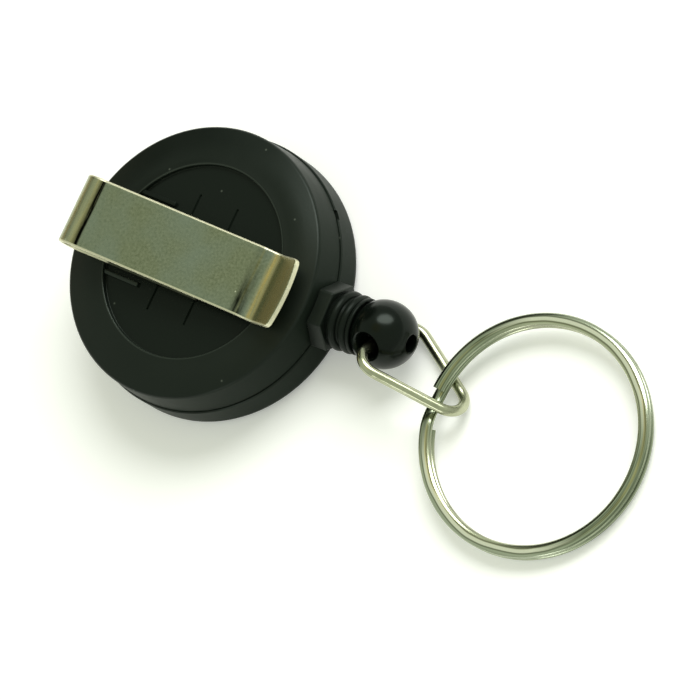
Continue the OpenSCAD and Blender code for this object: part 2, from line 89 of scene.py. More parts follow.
BALL_R, BALL_X, KNOT_X = 3.79, 23.5362, 21.0462
KNOT_HOLE_R, LINK_HOLE_R = 1.0, 1.3
CUP_R, SEAT_R = 3.91, 2.95
JOIN_X, JOIN_GAP = 14.8, 0.02
LINK_ROLL, LINK_SWING = math.radians(48.6), math.radians(26.5)
HANG = Vector((31.2653, -4.49105, 2.21038))
WIRE_D, LINK_HALF, LINK_LEN, APEX_R, CORNER_R = 1.2, 5.85, 11.6, 2.15, 2.05
COIL_W, COIL_T, COIL_LIFT = 1.45, 0.8, 0.45
RING_R = 26.8 / 2 - COIL_W / 2
CUT_A, STEP_A, BRIGHT_A = math.radians(175), math.radians(20), math.radians(75)
COIL_STEPS = 360


def srgb(code):
    """A hex colour as linear values."""
    parts = [int(code[i:i + 2], 16) / 255 for i in (1, 3, 5)]
    return [c / 12.92 if c <= 0.04045 else ((c + 0.055) / 1.055) ** 2.4 for c in parts] + [1.0]


def put(tree, kind, inputs=None, **settings):
    """Adds a node with its settings, and gives its inputs their values or links."""
    node = tree.nodes.new(kind)
    for key, value in settings.items():
        setattr(node, key, value)
    for key, value in (inputs or {}).items():
        if isinstance(value, bpy.types.NodeSocket):
            tree.links.new(value, node.inputs[key])
        else:
            node.inputs[key].default_value = value
    return node


def per_mm(size):
    """Texture scale whose cell is this many millimetres wide on Object coordinates."""
    return 1 / (size * MM)


# Meshes

def rounded(corners, steps=6, closed=True, hold=0.03):
    """An outline whose corners (x, y, radius) are rounded, with a holding point beside each bend."""
    out = []
    for i, (x, y, r) in enumerate(corners):
        q = Vector((x, y))
        end = not closed and i in (0, len(corners) - 1)
        if r == 0 or end:
            out.append(q)
            continue
        p, s = Vector(corners[i - 1][:2]), Vector(corners[(i + 1) % len(corners)][:2])
        u, v = (p - q).normalized(), (s - q).normalized()
        half = math.acos(max(-1, min(1, u.dot(v)))) / 2
        k = r / math.tan(half)
        c = q + (u + v).normalized() * (r / math.sin(half))
        a, b = q + u * k - c, q + v * k - c
        start = math.atan2(a.y, a.x)
        sweep = (math.atan2(b.y, b.x) - start + math.pi) % (2 * math.pi) - math.pi
        if hold:
            out.append(q + u * (k + hold))
        out += [c + r * Vector((math.cos(start + sweep * j / steps), math.sin(start + sweep * j / steps)))
                for j in range(steps + 1)]
        if hold:
            out.append(q + v * (k + hold))
    return out


ALONG_X = Matrix.Translation((0, 0, NOZ_Z)) @ Matrix.Rotation(math.pi / 2, 4, "Y")


def lathe(outline, count=192, place=Matrix(), closed=True):
    """An outline of (radius, height) points turned round the Z axis."""
    bm = bmesh.new()
    rings = []
    for r, z in outline:
        turns = 1 if r < 1e-6 else count
        rings.append([bm.verts.new(place @ Vector((r * math.cos(2 * math.pi * k / count),
                                                   r * math.sin(2 * math.pi * k / count), z)))
                      for k in range(turns)])
    for i, ring in enumerate(rings):
        back = rings[i - 1]
        if len(ring) == len(back) == 1 or (i == 0 and not closed):
            continue
        for k in range(count):
            corners = [back[k % len(back)], back[(k + 1) % len(back)],
                       ring[(k + 1) % len(ring)], ring[k % len(ring)]]
            bm.faces.new(list(dict.fromkeys(corners)))
    bmesh.ops.recalc_face_normals(bm, faces=bm.faces)
    return bm


def block(low, high, bevel=0.0, place=Matrix()):
    """A box from corner to corner with its edges rounded."""
    bm = bmesh.new()
    size, middle = Vector(high) - Vector(low), (Vector(high) + Vector(low)) / 2
    bmesh.ops.create_cube(bm, size=1, matrix=place @ Matrix.Translation(middle) @ Matrix.Diagonal((*size, 1)))
    if bevel:
        bmesh.ops.bevel(bm, geom=bm.edges[:], offset=bevel, segments=3, profile=0.5, affect="EDGES")
    return bm


def make(name, bm):
    """A new object from a bmesh."""
    mesh = bpy.data.meshes.new(name)
    bm.to_mesh(mesh)
    bm.free()
    obj = bpy.data.objects.new(name, mesh)
    scene.collection.objects.link(obj)
    return obj


def settle(obj):
    """The evaluated mesh takes the place of the object's modifiers."""
    graph = bpy.context.evaluated_depsgraph_get()
    mesh = bpy.data.meshes.new_from_object(obj.evaluated_get(graph), preserve_all_data_layers=True,
                                           depsgraph=graph)
    old = obj.data
    obj.modifiers.clear()
    obj.data = mesh
    mesh.name = obj.name
    bpy.data.meshes.remove(old)


def carve(obj, *steps):
    """Boolean steps on the object, each a pair of an operation and a bmesh."""
    for operation, bm in steps:
        tool = make("tool", bm)
        change = obj.modifiers.new("carve", "BOOLEAN")
        change.operation = operation
        change.solver = "EXACT"
        change.object = tool
        settle(obj)
        mesh = tool.data
        bpy.data.objects.remove(tool)
        bpy.data.meshes.remove(mesh)


def finish_piece(obj, material, body, node, angle=32, ride=True):
    """Smooths the piece, scales it to metres and hangs it on its body in place of its CAD node."""
    mesh = obj.data
    mesh.transform(Matrix.Scale(MM, 4))
    mesh.polygons.foreach_set("use_smooth", [True] * len(mesh.polygons))
    mesh.set_sharp_from_angle(angle=math.radians(angle))
    mesh.materials.clear()
    mesh.materials.append(material)
    mesh.polygons.foreach_set("material_index", [0] * len(mesh.polygons))
    mesh.update()
    if ride:
        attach(obj, body)
    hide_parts(node)


# Materials

def surface(name, **constants):
    """A material with its principled shader, whose constants are set on the shader's own sockets."""
    material = bpy.data.materials.new(name)
    material.use_nodes = True
    tree = material.node_tree
    tree.nodes.clear()
    shader = put(tree, "ShaderNodeBsdfPrincipled", constants)
    put(tree, "ShaderNodeOutputMaterial", {"Surface": shader.outputs["BSDF"]})
    return material, tree, shader


# A faint green in the shine of the black plastics
COOL_SHINE = (0.86, 1.0, 0.88, 1.0)


def moulded_black_abs():
    """Moulded black ABS with a fine spark-eroded grain: a soft grey sheen that breaks up into a faint grain,
    a smoother floor in the recess with a burnished edge, walls painted paler as painted light and with less
    shine, and a few pale specks of dust."""
    material, tree, shader = surface("moulded_black_abs", **{"Specular Tint": COOL_SHINE})
    place = put(tree, "ShaderNodeTexCoord").outputs["Object"]
    axes = put(tree, "ShaderNodeSeparateXYZ", {0: place})
    flat = put(tree, "ShaderNodeCombineXYZ", {0: axes.outputs[0], 1: axes.outputs[1]})
    radius = put(tree, "ShaderNodeVectorMath", {0: flat.outputs[0]}, operation="LENGTH")
    inside = put(tree, "ShaderNodeMath", {0: radius.outputs["Value"], 1: (RECESS_R - 0.1) * MM},
                 operation="LESS_THAN")
    # Grain of 0.28 mm, coarser than the real erosion so that it shows in the render
    grain = put(tree, "ShaderNodeTexNoise",
                {"Vector": place, "Scale": per_mm(0.28), "Detail": 3, "Roughness": 0.6})
    flow = put(tree, "ShaderNodeTexNoise",
               {"Vector": place, "Scale": per_mm(5), "Detail": 3, "Roughness": 0.5})
    # One cell of 3.4 mm in five holds a speck 0.2 mm wide
    dust = put(tree, "ShaderNodeTexVoronoi", {"Vector": flat.outputs[0], "Scale": per_mm(3.4)},
               voronoi_dimensions="2D")
    chance = put(tree, "ShaderNodeSeparateColor", {0: dust.outputs["Color"]})
    lucky = put(tree, "ShaderNodeMath", {0: chance.outputs[0], 1: 0.8}, operation="GREATER_THAN")
    speck = put(tree, "ShaderNodeMapRange", {0: dust.outputs["Distance"], 1: 0.02, 2: 0.045, 3: 0.8, 4: 0})
    spot = put(tree, "ShaderNodeMath", {0: speck.outputs[0], 1: lucky.outputs[0]}, operation="MULTIPLY")
    tone = put(tree, "ShaderNodeMix", {0: flow.outputs["Fac"], 6: srgb("#0e130f"), 7: srgb("#141915")},
               data_type="RGBA")
    deep = put(tree, "ShaderNodeMix", {0: inside.outputs[0], 6: tone.outputs[2], 7: srgb("#0e130f")},
               data_type="RGBA")
    dusty = put(tree, "ShaderNodeMix", {0: spot.outputs[0], 6: deep.outputs[2], 7: srgb("#4d524a")},
                data_type="RGBA")
    rough = put(tree, "ShaderNodeMapRange", {0: flow.outputs["Fac"], 1: 0.3, 2: 0.7, 3: 0.3, 4: 0.38})
    smooth = put(tree, "ShaderNodeMath", {0: inside.outputs[0], 1: -0.03, 2: rough.outputs[0]},
                 operation="MULTIPLY_ADD")
    tree.links.new(smooth.outputs[0], shader.inputs["Roughness"])
    # The moulded face sinks a little towards the rim, so it turns its sheen outwards there
    outward = put(tree, "ShaderNodeVectorMath", {0: flat.outputs[0]}, operation="NORMALIZE")
    band = put(tree, "ShaderNodeMapRange",
               {0: radius.outputs["Value"], 1: RECESS_R * MM, 2: 14 * MM, 3: 0.03, 4: 0.17})
    upper = put(tree, "ShaderNodeMath", {0: axes.outputs[2], 1: (RIDGE_Z - 0.3) * MM},
                operation="GREATER_THAN")
    lean = put(tree, "ShaderNodeMath", {0: band.outputs[0], 1: upper.outputs[0]}, operation="MULTIPLY")
    slope = put(tree, "ShaderNodeVectorMath", {0: outward.outputs[0], "Scale": lean.outputs[0]},
                operation="SCALE")
    face = put(tree, "ShaderNodeNewGeometry")
    # Painted light: the walls are painted paler than the faces, and they shine less
    facing = put(tree, "ShaderNodeSeparateXYZ", {0: face.outputs["Normal"]})
    flatness = put(tree, "ShaderNodeMapRange", {0: facing.outputs[2], 1: 0.2, 2: 0.75, 3: 0, 4: 1})
    tone = put(tree, "ShaderNodeMix", {0: flatness.outputs[0], 6: srgb("#1d241e"), 7: dusty.outputs[2]},
               data_type="RGBA")
    tree.links.new(tone.outputs[2], shader.inputs["Base Color"])
    shine = put(tree, "ShaderNodeMapRange", {0: flatness.outputs[0], 3: 0.035, 4: 0.23})
    level = put(tree, "ShaderNodeMath", {0: inside.outputs[0], 1: -0.06, 2: shine.outputs[0]},
                operation="MULTIPLY_ADD")
    # The edge round the recess is burnished over 0.2 mm, and the rail on the near side all over
    apart = put(tree, "ShaderNodeMath", {0: radius.outputs["Value"], 1: (RECESS_R + 0.09) * MM, 2: 0.11 * MM},
                operation="COMPARE")
    high = put(tree, "ShaderNodeMath", {0: axes.outputs[2], 1: (CASE_H - 0.2) * MM}, operation="GREATER_THAN")
    edge = put(tree, "ShaderNodeMath", {0: apart.outputs[0], 1: high.outputs[0]}, operation="MULTIPLY")
    raised = put(tree, "ShaderNodeMath", {0: axes.outputs[2], 1: (FLOOR_Z + 0.2) * MM},
                 operation="GREATER_THAN")
    near = put(tree, "ShaderNodeMath", {0: axes.outputs[1], 1: 0.0}, operation="LESS_THAN")
    within = put(tree, "ShaderNodeMath", {0: inside.outputs[0], 1: near.outputs[0]}, operation="MULTIPLY")
    rail = put(tree, "ShaderNodeMath", {0: within.outputs[0], 1: raised.outputs[0]}, operation="MULTIPLY")
    rub_and_painted_band = put(tree, "ShaderNodeMath", {0: edge.outputs[0], 1: rail.outputs[0]}, operation="MAXIMUM")
    polish_and_painted_highlight = put(tree, "ShaderNodeMath", {0: rub_and_painted_band.outputs[0], 1: 0.32, 2: level.outputs[0]},
                 operation="MULTIPLY_ADD")
    tree.links.new(polish_and_painted_highlight.outputs[0], shader.inputs["Specular IOR Level"])
    sunk = put(tree, "ShaderNodeVectorMath", {0: face.outputs["Normal"], 1: slope.outputs[0]},
               operation="ADD")
    unit = put(tree, "ShaderNodeVectorMath", {0: sunk.outputs[0]}, operation="NORMALIZE")
    relief = put(tree, "ShaderNodeBump", {"Height": grain.outputs["Fac"], "Strength": 0.2,
                                          "Distance": 0.03 * MM, "Normal": unit.outputs[0]})
    tree.links.new(relief.outputs[0], shader.inputs["Normal"])
    return material


def moulded_plastic(name, dark, pale, rough_low, rough_high, grain_mm, strength, **constants):
    """A plain moulding: two close tones, a roughness that drifts and a fine grain."""
    material, tree, shader = surface(name, **constants)
    place = put(tree, "ShaderNodeTexCoord").outputs["Object"]
    drift = put(tree, "ShaderNodeTexNoise", {"Vector": place, "Scale": per_mm(2.4), "Detail": 3})
    grain = put(tree, "ShaderNodeTexNoise", {"Vector": place, "Scale": per_mm(grain_mm), "Detail": 3})
    tone = put(tree, "ShaderNodeMix", {0: drift.outputs["Fac"], 6: srgb(dark), 7: srgb(pale)},
               data_type="RGBA")
    tree.links.new(tone.outputs[2], shader.inputs["Base Color"])
    rough = put(tree, "ShaderNodeMapRange",
                {0: drift.outputs["Fac"], 1: 0.3, 2: 0.7, 3: rough_low, 4: rough_high})
    tree.links.new(rough.outputs[0], shader.inputs["Roughness"])
    relief = put(tree, "ShaderNodeBump",
                 {"Height": grain.outputs["Fac"], "Strength": strength, "Distance": 0.02 * MM})
    tree.links.new(relief.outputs[0], shader.inputs["Normal"])
    return material


def plated_link_nickel():
    """Drawn steel wire with a nickel plating: a bright mirror that is slightly satin, with faint lines along
    the wire and a plating that drifts a little in tone."""
    material, tree, shader = surface("bright_nickel_wire", Metallic=1.0)
    place = put(tree, "ShaderNodeTexCoord").outputs["Object"]
    along = put(tree, "ShaderNodeAttribute", attribute_name="along")
    around = put(tree, "ShaderNodeAttribute", attribute_name="around")
    strip = put(tree, "ShaderNodeCombineXYZ", {0: along.outputs["Fac"], 1: around.outputs["Fac"]})
    # Drawn lines 0.06 mm wide and 3 mm long
    stretch = put(tree, "ShaderNodeMapping", {"Vector": strip.outputs[0], "Scale": (1 / 3, 1 / 0.06, 1)})
    lines = put(tree, "ShaderNodeTexNoise", {"Vector": stretch.outputs[0], "Scale": 1, "Detail": 4})
    drift = put(tree, "ShaderNodeTexNoise", {"Vector": place, "Scale": per_mm(1.8), "Detail": 3})
    wear_and_band_depth = put(tree, "ShaderNodeMath", {0: drift.outputs["Fac"], 1: lines.outputs["Fac"]}, operation="ADD")
    share = put(tree, "ShaderNodeMapRange", {0: wear_and_band_depth.outputs[0], 1: 0.7, 2: 1.3, 3: 0, 4: 1})
    tone = put(tree, "ShaderNodeMix", {0: share.outputs[0], 6: srgb("#a2a588"), 7: srgb("#c6c9ae")},
               data_type="RGBA")
    tree.links.new(tone.outputs[2], shader.inputs["Base Color"])
    rough = put(tree, "ShaderNodeMapRange", {0: lines.outputs["Fac"], 1: 0.3, 2: 0.7, 3: 0.19, 4: 0.26})
    tree.links.new(rough.outputs[0], shader.inputs["Roughness"])
    relief = put(tree, "ShaderNodeBump",
                 {"Height": lines.outputs["Fac"], "Strength": 0.12, "Distance": 0.01 * MM})
    tree.links.new(relief.outputs[0], shader.inputs["Normal"])
    return material


def plated_ring_nickel():
    """Nickel-plated spring wire: across it a painted highlight on the crown between greyer flanks, with thin
    dark lines of painted reflection beside it; along it painted shade, broken by drawn lines, near the link
    and opposite it."""
    material, tree, shader = surface("nickel_plated_ring", Metallic=1.0)
    along, around, across = [put(tree, "ShaderNodeAttribute", attribute_name=name).outputs["Fac"]
                             for name in ("along", "around", "across")]
    strip = put(tree, "ShaderNodeCombineXYZ", {0: along, 1: around})
    # Drawn lines 0.16 mm wide and 9 mm long
    stretch = put(tree, "ShaderNodeMapping", {"Vector": strip.outputs[0], "Scale": (1 / 9, 1 / 0.16, 1)})
    lines = put(tree, "ShaderNodeTexNoise", {"Vector": stretch.outputs[0], "Scale": 1, "Detail": 4})
    # The crown wanders by a tenth of the width over some 8 mm
    roam = put(tree, "ShaderNodeTexNoise", {"W": along, "Scale": 1 / 8, "Detail": 2}, noise_dimensions="1D")
    drift = put(tree, "ShaderNodeMath", {0: roam.outputs["Fac"], 1: 0.3, 2: -0.15}, operation="MULTIPLY_ADD")
    share = put(tree, "ShaderNodeMapRange", {0: across, 1: -COIL_W / 2, 2: COIL_W / 2, 3: 0, 4: 1})
    place = put(tree, "ShaderNodeMath", {0: share.outputs[0], 1: drift.outputs[0]}, operation="ADD")
    # Across the wire the tone is painted reflection: greyer flanks, thin dark lines and a bright crown
    # highlight
    face = put(tree, "ShaderNodeValToRGB", {0: place.outputs[0]})
    stops = face.color_ramp.elements
    stops[0].color, stops[1].color = srgb("#a9b09a"), srgb("#9a9c86")
    for at, code in ((0.24, "#bcc3ad"), (0.34, "#6d7358"), (0.42, "#f8f8e6"), (0.62, "#f6f7e2"),
                     (0.71, "#6a6c4a"), (0.82, "#c4c8ac"), (0.92, "#d0d3b8")):
        stops.new(at).color = srgb(code)
    etch = put(tree, "ShaderNodeMapRange", {0: lines.outputs["Fac"], 1: 0.36, 2: 0.64, 3: 0, 4: 1})
    shaded_stretch_tone = put(tree, "ShaderNodeMix", {0: etch.outputs[0], 6: srgb("#59624c"), 7: srgb("#b3bca2")},
               data_type="RGBA")
    # Painted highlight on two stretches of each turn, with the painted shade between them
    turn = put(tree, "ShaderNodeMath", {0: along, 1: 2 / RING_R, 2: 2 * (BRIGHT_A - CUT_A)},
               operation="MULTIPLY_ADD")
    wave = put(tree, "ShaderNodeMath", {0: turn.outputs[0]}, operation="COSINE")
    polish_and_painted_highlight = put(tree, "ShaderNodeMapRange", {0: wave.outputs[0], 1: -0.7, 2: 0.2, 3: 0, 4: 1})
    tone = put(tree, "ShaderNodeMix", {0: polish_and_painted_highlight.outputs[0], 6: shaded_stretch_tone.outputs[2], 7: face.outputs[0]},
               data_type="RGBA")
    tree.links.new(tone.outputs[2], shader.inputs["Base Color"])
    rough = put(tree, "ShaderNodeMapRange", {0: lines.outputs["Fac"], 1: 0.3, 2: 0.7, 3: 0.14, 4: 0.22})
    tree.links.new(rough.outputs[0], shader.inputs["Roughness"])
    relief = put(tree, "ShaderNodeBump",
                 {"Height": lines.outputs["Fac"], "Strength": 0.25, "Distance": 0.01 * MM})
    tree.links.new(relief.outputs[0], shader.inputs["Normal"])
    return material


def plain_metal(name, dark, pale, rough_low, rough_high, turn_mm):
    """Turned or rolled metal inside the case: fine rings or streaks and a slight drift of tone."""
    material, tree, shader = surface(name, Metallic=1.0)
    place = put(tree, "ShaderNodeTexCoord").outputs["Object"]
    stretch = put(tree, "ShaderNodeMapping",
                  {"Vector": place, "Scale": (per_mm(2), per_mm(2), per_mm(turn_mm))})
    lines = put(tree, "ShaderNodeTexNoise", {"Vector": stretch.outputs[0], "Scale": 1, "Detail": 3})
    tone = put(tree, "ShaderNodeMix", {0: lines.outputs["Fac"], 6: srgb(dark), 7: srgb(pale)},
               data_type="RGBA")
    tree.links.new(tone.outputs[2], shader.inputs["Base Color"])
    rough = put(tree, "ShaderNodeMapRange",
                {0: lines.outputs["Fac"], 1: 0.3, 2: 0.7, 3: rough_low, 4: rough_high})
    tree.links.new(rough.outputs[0], shader.inputs["Roughness"])
    return material


def braided_nylon():
    """Braided black nylon: crossing strands that catch a soft light on their crowns."""
    material, tree, shader = surface("braided_black_nylon", **{"Roughness": 0.55, "Sheen Weight": 0.25})
    along = put(tree, "ShaderNodeAttribute", attribute_name="along")
    around = put(tree, "ShaderNodeAttribute", attribute_name="around")
    # Strands 0.35 mm wide that wind round the cord both ways
    heights = []
    for hand in (1, -1):
        phase = put(tree, "ShaderNodeMath", {0: around.outputs["Fac"], 1: hand * 8.0}, operation="MULTIPLY")
        turn = put(tree, "ShaderNodeMath",
                   {0: along.outputs["Fac"], 1: 2 * math.pi / 0.7, 2: phase.outputs[0]},
                   operation="MULTIPLY_ADD")
        heights.append(put(tree, "ShaderNodeMath", {0: turn.outputs[0]}, operation="SINE").outputs[0])
    weave = put(tree, "ShaderNodeMath", {0: heights[0], 1: heights[1]}, operation="MAXIMUM")
    tone = put(tree, "ShaderNodeMix", {0: weave.outputs[0], 6: srgb("#0c0d0f"), 7: srgb("#23252a")},
               data_type="RGBA")
    tree.links.new(tone.outputs[2], shader.inputs["Base Color"])
    relief = put(tree, "ShaderNodeBump", {"Height": weave.outputs[0], "Strength": 0.5, "Distance": 0.06 * MM})
    tree.links.new(relief.outputs[0], shader.inputs["Normal"])
    return material


ABS = moulded_black_abs()
# Satin rubber: nearly as dark as the case, with a broad soft shine on the crests
RUBBER = moulded_plastic("satin_black_rubber", "#0c100d", "#131814", 0.3, 0.4, 0.2, 0.12,
                         **{"Specular IOR Level": 0.13, "Specular Tint": COOL_SHINE})
# Nozzle: the same black plastic, smoother than the case
NOZZLE_ABS = moulded_plastic("smooth_black_abs", "#0e130f", "#151a16", 0.3, 0.4, 0.24, 0.15,
                             **{"Specular IOR Level": 0.21, "Specular Tint": COOL_SHINE})
# Polished plastic: a deep black ball with one broad soft highlight
POLISHED = moulded_plastic("polished_black_plastic", "#050906", "#090d0a", 0.19, 0.23, 0.5, 0.03,
                           **{"Specular IOR Level": 0.2, "Specular Tint": COOL_SHINE})
NICKEL = plated_link_nickel()
RING_NICKEL = plated_ring_nickel()
NYLON = braided_nylon()
# Turned steel arbor: fine turning rings
TURNED = plain_metal("turned_steel", "#b9bab4", "#d4d5cf", 0.2, 0.32, 0.15)
# Blued spring strip: smooth rolled steel with long streaks
SPRING = plain_metal("rolled_spring_steel", "#7d8288", "#a3a8ae", 0.22, 0.34, 0.4)
# Natural acetal: waxy white, slightly warm
ACETAL = moulded_plastic("moulded_white_acetal", "#dcd9cd", "#eae7db", 0.34, 0.46, 0.4, 0.1,
                         **{"IOR": 1.48, "Subsurface Weight": 0.1,
                            "Subsurface Radius": (0.001, 0.001, 0.001)})


# Length in the strip's UV map that marks its two sheared ends
END_MARK = 100.0


def rolled_clip_steel(bends, foot_end):
    """Rolled spring steel with a satin nickel plating: a greenish grey sheet with a fine rolled mottle, bands
    of painted shade and painted highlight along its bends, broken into streaks, and a few bright pits. The UV
    map is the strip laid flat, in mm. Each bend is its length along the strip, its width, painted colour and
    depth, and the share that stays on the left side."""
    material, tree, shader = surface("nickel_plated_clip_steel", Metallic=1.0)
    flat = put(tree, "ShaderNodeUVMap", uv_map="strip")
    axes = put(tree, "ShaderNodeSeparateXYZ", {0: flat.outputs[0]})
    # Mottle of 0.3 mm, clouds of 7 mm, and rolling lines 0.16 mm wide and 1.6 mm long
    mottle = put(tree, "ShaderNodeTexNoise",
                 {"Vector": flat.outputs[0], "Scale": 1 / 0.3, "Detail": 4, "Roughness": 0.6})
    cloud = put(tree, "ShaderNodeTexNoise", {"Vector": flat.outputs[0], "Scale": 1 / 7.0, "Detail": 2})
    rolled = put(tree, "ShaderNodeMapping", {"Vector": flat.outputs[0], "Scale": (1 / 1.6, 1 / 0.16, 1)})
    grain = put(tree, "ShaderNodeTexNoise", {"Vector": rolled.outputs[0], "Scale": 1, "Detail": 4})
    spread = put(tree, "ShaderNodeMapRange", {0: mottle.outputs["Fac"], 1: 0.32, 2: 0.68, 3: 0, 4: 1})
    tone = put(tree, "ShaderNodeMix", {0: spread.outputs[0], 6: srgb("#777f65"), 7: srgb("#939a81")},
               data_type="RGBA").outputs[2]
    haze = put(tree, "ShaderNodeMapRange", {0: cloud.outputs["Fac"], 1: 0.4, 2: 0.65, 3: 0, 4: 0.6})
    tone = put(tree, "ShaderNodeMix", {0: haze.outputs[0], 6: tone, 7: srgb("#8a978c")},
               data_type="RGBA").outputs[2]
    # The painted bands at the bends break into streaks 0.22 mm wide and 3.5 mm long, and some fade towards
    # the left side
    drawn = put(tree, "ShaderNodeMapping", {"Vector": flat.outputs[0], "Scale": (1 / 0.22, 1 / 3.5, 1)})
    streak = put(tree, "ShaderNodeTexNoise",
                 {"Vector": drawn.outputs[0], "Scale": 1, "Detail": 3, "Roughness": 0.55})
    side = put(tree, "ShaderNodeMapRange", {0: axes.outputs[1], 1: -CLIP_W / 2, 2: CLIP_W / 2, 3: 1, 4: 0})
    for place, width, shade, depth, kept in bends:
        away = put(tree, "ShaderNodeMath", {0: axes.outputs[0], 1: place}, operation="SUBTRACT")
        apart = put(tree, "ShaderNodeMath", {0: away.outputs[0]}, operation="ABSOLUTE")
        band = put(tree, "ShaderNodeMapRange", {0: apart.outputs[0], 1: width * 0.2, 2: width, 3: 1, 4: 0},
                   interpolation_type="SMOOTHSTEP")
        wear_and_band_depth = put(tree, "ShaderNodeMapRange",
                   {0: streak.outputs["Fac"], 1: 0.35, 2: 0.65, 3: depth * 0.4, 4: depth})
        fade = put(tree, "ShaderNodeMapRange", {0: side.outputs[0], 1: 0.2, 2: 0.8, 3: kept, 4: 1})
        rub_and_painted_band = put(tree, "ShaderNodeMath", {0: band.outputs[0], 1: wear_and_band_depth.outputs[0]}, operation="MULTIPLY")
        share = put(tree, "ShaderNodeMath", {0: rub_and_painted_band.outputs[0], 1: fade.outputs[0]}, operation="MULTIPLY")
        tone = put(tree, "ShaderNodeMix", {0: share.outputs[0], 6: tone, 7: srgb(shade)},
                   data_type="RGBA").outputs[2]
    # Bright pits 0.25 mm wide in one cell of 2.2 mm out of eight
    cells = put(tree, "ShaderNodeTexVoronoi", {"Vector": flat.outputs[0], "Scale": 1 / 2.2})
    chance = put(tree, "ShaderNodeSeparateColor", {0: cells.outputs["Color"]})
    lucky = put(tree, "ShaderNodeMath", {0: chance.outputs[0], 1: 0.87}, operation="GREATER_THAN")
    dot = put(tree, "ShaderNodeMapRange", {0: cells.outputs["Distance"], 1: 0.03, 2: 0.06, 3: 0.9, 4: 0})
    pit = put(tree, "ShaderNodeMath", {0: dot.outputs[0], 1: lucky.outputs[0]}, operation="MULTIPLY")
    tone = put(tree, "ShaderNodeMix", {0: pit.outputs[0], 6: tone, 7: srgb("#d9dcc4")},
               data_type="RGBA").outputs[2]
    # The foot inside the recess is painted dark: painted shade under the arm
    foot_shade_share = put(tree, "ShaderNodeMapRange", {0: axes.outputs[0], 1: foot_end - 0.4, 2: foot_end, 3: 1, 4: 0})
    # Sheared edges and the cut ends: more matt than the rolled faces, and painted paler as a painted
    # highlight along them
    aside = put(tree, "ShaderNodeMath", {0: axes.outputs[1]}, operation="ABSOLUTE")
    flank = put(tree, "ShaderNodeMapRange",
                {0: aside.outputs[0], 1: CLIP_W / 2 - 0.26, 2: CLIP_W / 2 - 0.19, 3: 0, 4: 1})
    tail = put(tree, "ShaderNodeMath", {0: axes.outputs[0], 1: END_MARK}, operation="GREATER_THAN")
    edge = put(tree, "ShaderNodeMath", {0: flank.outputs[0], 1: tail.outputs[0]}, operation="MAXIMUM")
    tone = put(tree, "ShaderNodeMix", {0: edge.outputs[0], 6: tone, 7: srgb("#dcd9bd")},
               data_type="RGBA").outputs[2]
    tone = put(tree, "ShaderNodeMix", {0: foot_shade_share.outputs[0], 6: tone, 7: srgb("#4a4d40")},
               data_type="RGBA").outputs[2]
    tree.links.new(tone, shader.inputs["Base Color"])
    rough = put(tree, "ShaderNodeMapRange", {0: mottle.outputs["Fac"], 1: 0.3, 2: 0.7, 3: 0.25, 4: 0.31})
    matt = put(tree, "ShaderNodeMix", {0: edge.outputs[0], 2: rough.outputs[0], 3: 0.45}, data_type="FLOAT")
    tree.links.new(matt.outputs[0], shader.inputs["Roughness"])
    relief = put(tree, "ShaderNodeBump",
                 {"Height": grain.outputs["Fac"], "Strength": 0.08, "Distance": 0.02 * MM})
    tree.links.new(relief.outputs[0], shader.inputs["Normal"])
    return material


# Case

def line_tool(x):
    """The narrow groove that runs out of a slit, with round ends and flared sides, as a cutting tool."""
    bm = bmesh.new()
    loops = []
    straight = (LINE_LEN - LINE_W) / 2
    mouth = LINE_W / 2 + 0.02
    for z, half in ((FLOOR_Z - LINE_D * 0.8, LINE_W * 0.38), (FLOOR_Z + 0.01, mouth), (FLOOR_Z + 0.3, mouth)):
        loop = []
        for side in (0, 1):
            for k in range(13):
                a = math.pi * (side + k / 12)
                shift = straight if side == 0 else -straight
                loop.append(bm.verts.new((x + half * math.cos(a), CLIP_SIDE + shift + half * math.sin(a), z)))
        loops.append(loop)
    for low, high in zip(loops, loops[1:]):
        for k in range(len(low)):
            bm.faces.new((low[k - 1], low[k], high[k], high[k - 1]))
    bm.faces.new(loops[0])
    bm.faces.new(loops[-1])
    bmesh.ops.recalc_face_normals(bm, faces=bm.faces)
    bm.transform(Matrix.Rotation(CLIP_YAW, 4, "Z"))
    return bm


def slit_tool(x):
    """The slit through the rear wall that the strip passes, as a cutting tool."""
    half = CLIP_W / 2 + SLIT_CLEAR
    low = (x - SLIT_W / 2, CLIP_SIDE - half, ROOF_Z - 1)
    high = (x + SLIT_W / 2, CLIP_SIDE + half, FLOOR_Z + 1)
    return block(low, high, 0, Matrix.Rotation(CLIP_YAW, 4, "Z"))


def window_tool(low, high):
    """The window in the case wall that the collar's neck fills, as a cutting tool."""
    return block((INNER_R - 2, -WINDOW_HALF, low), (CASE_R + 2.6, WINDOW_HALF, high))


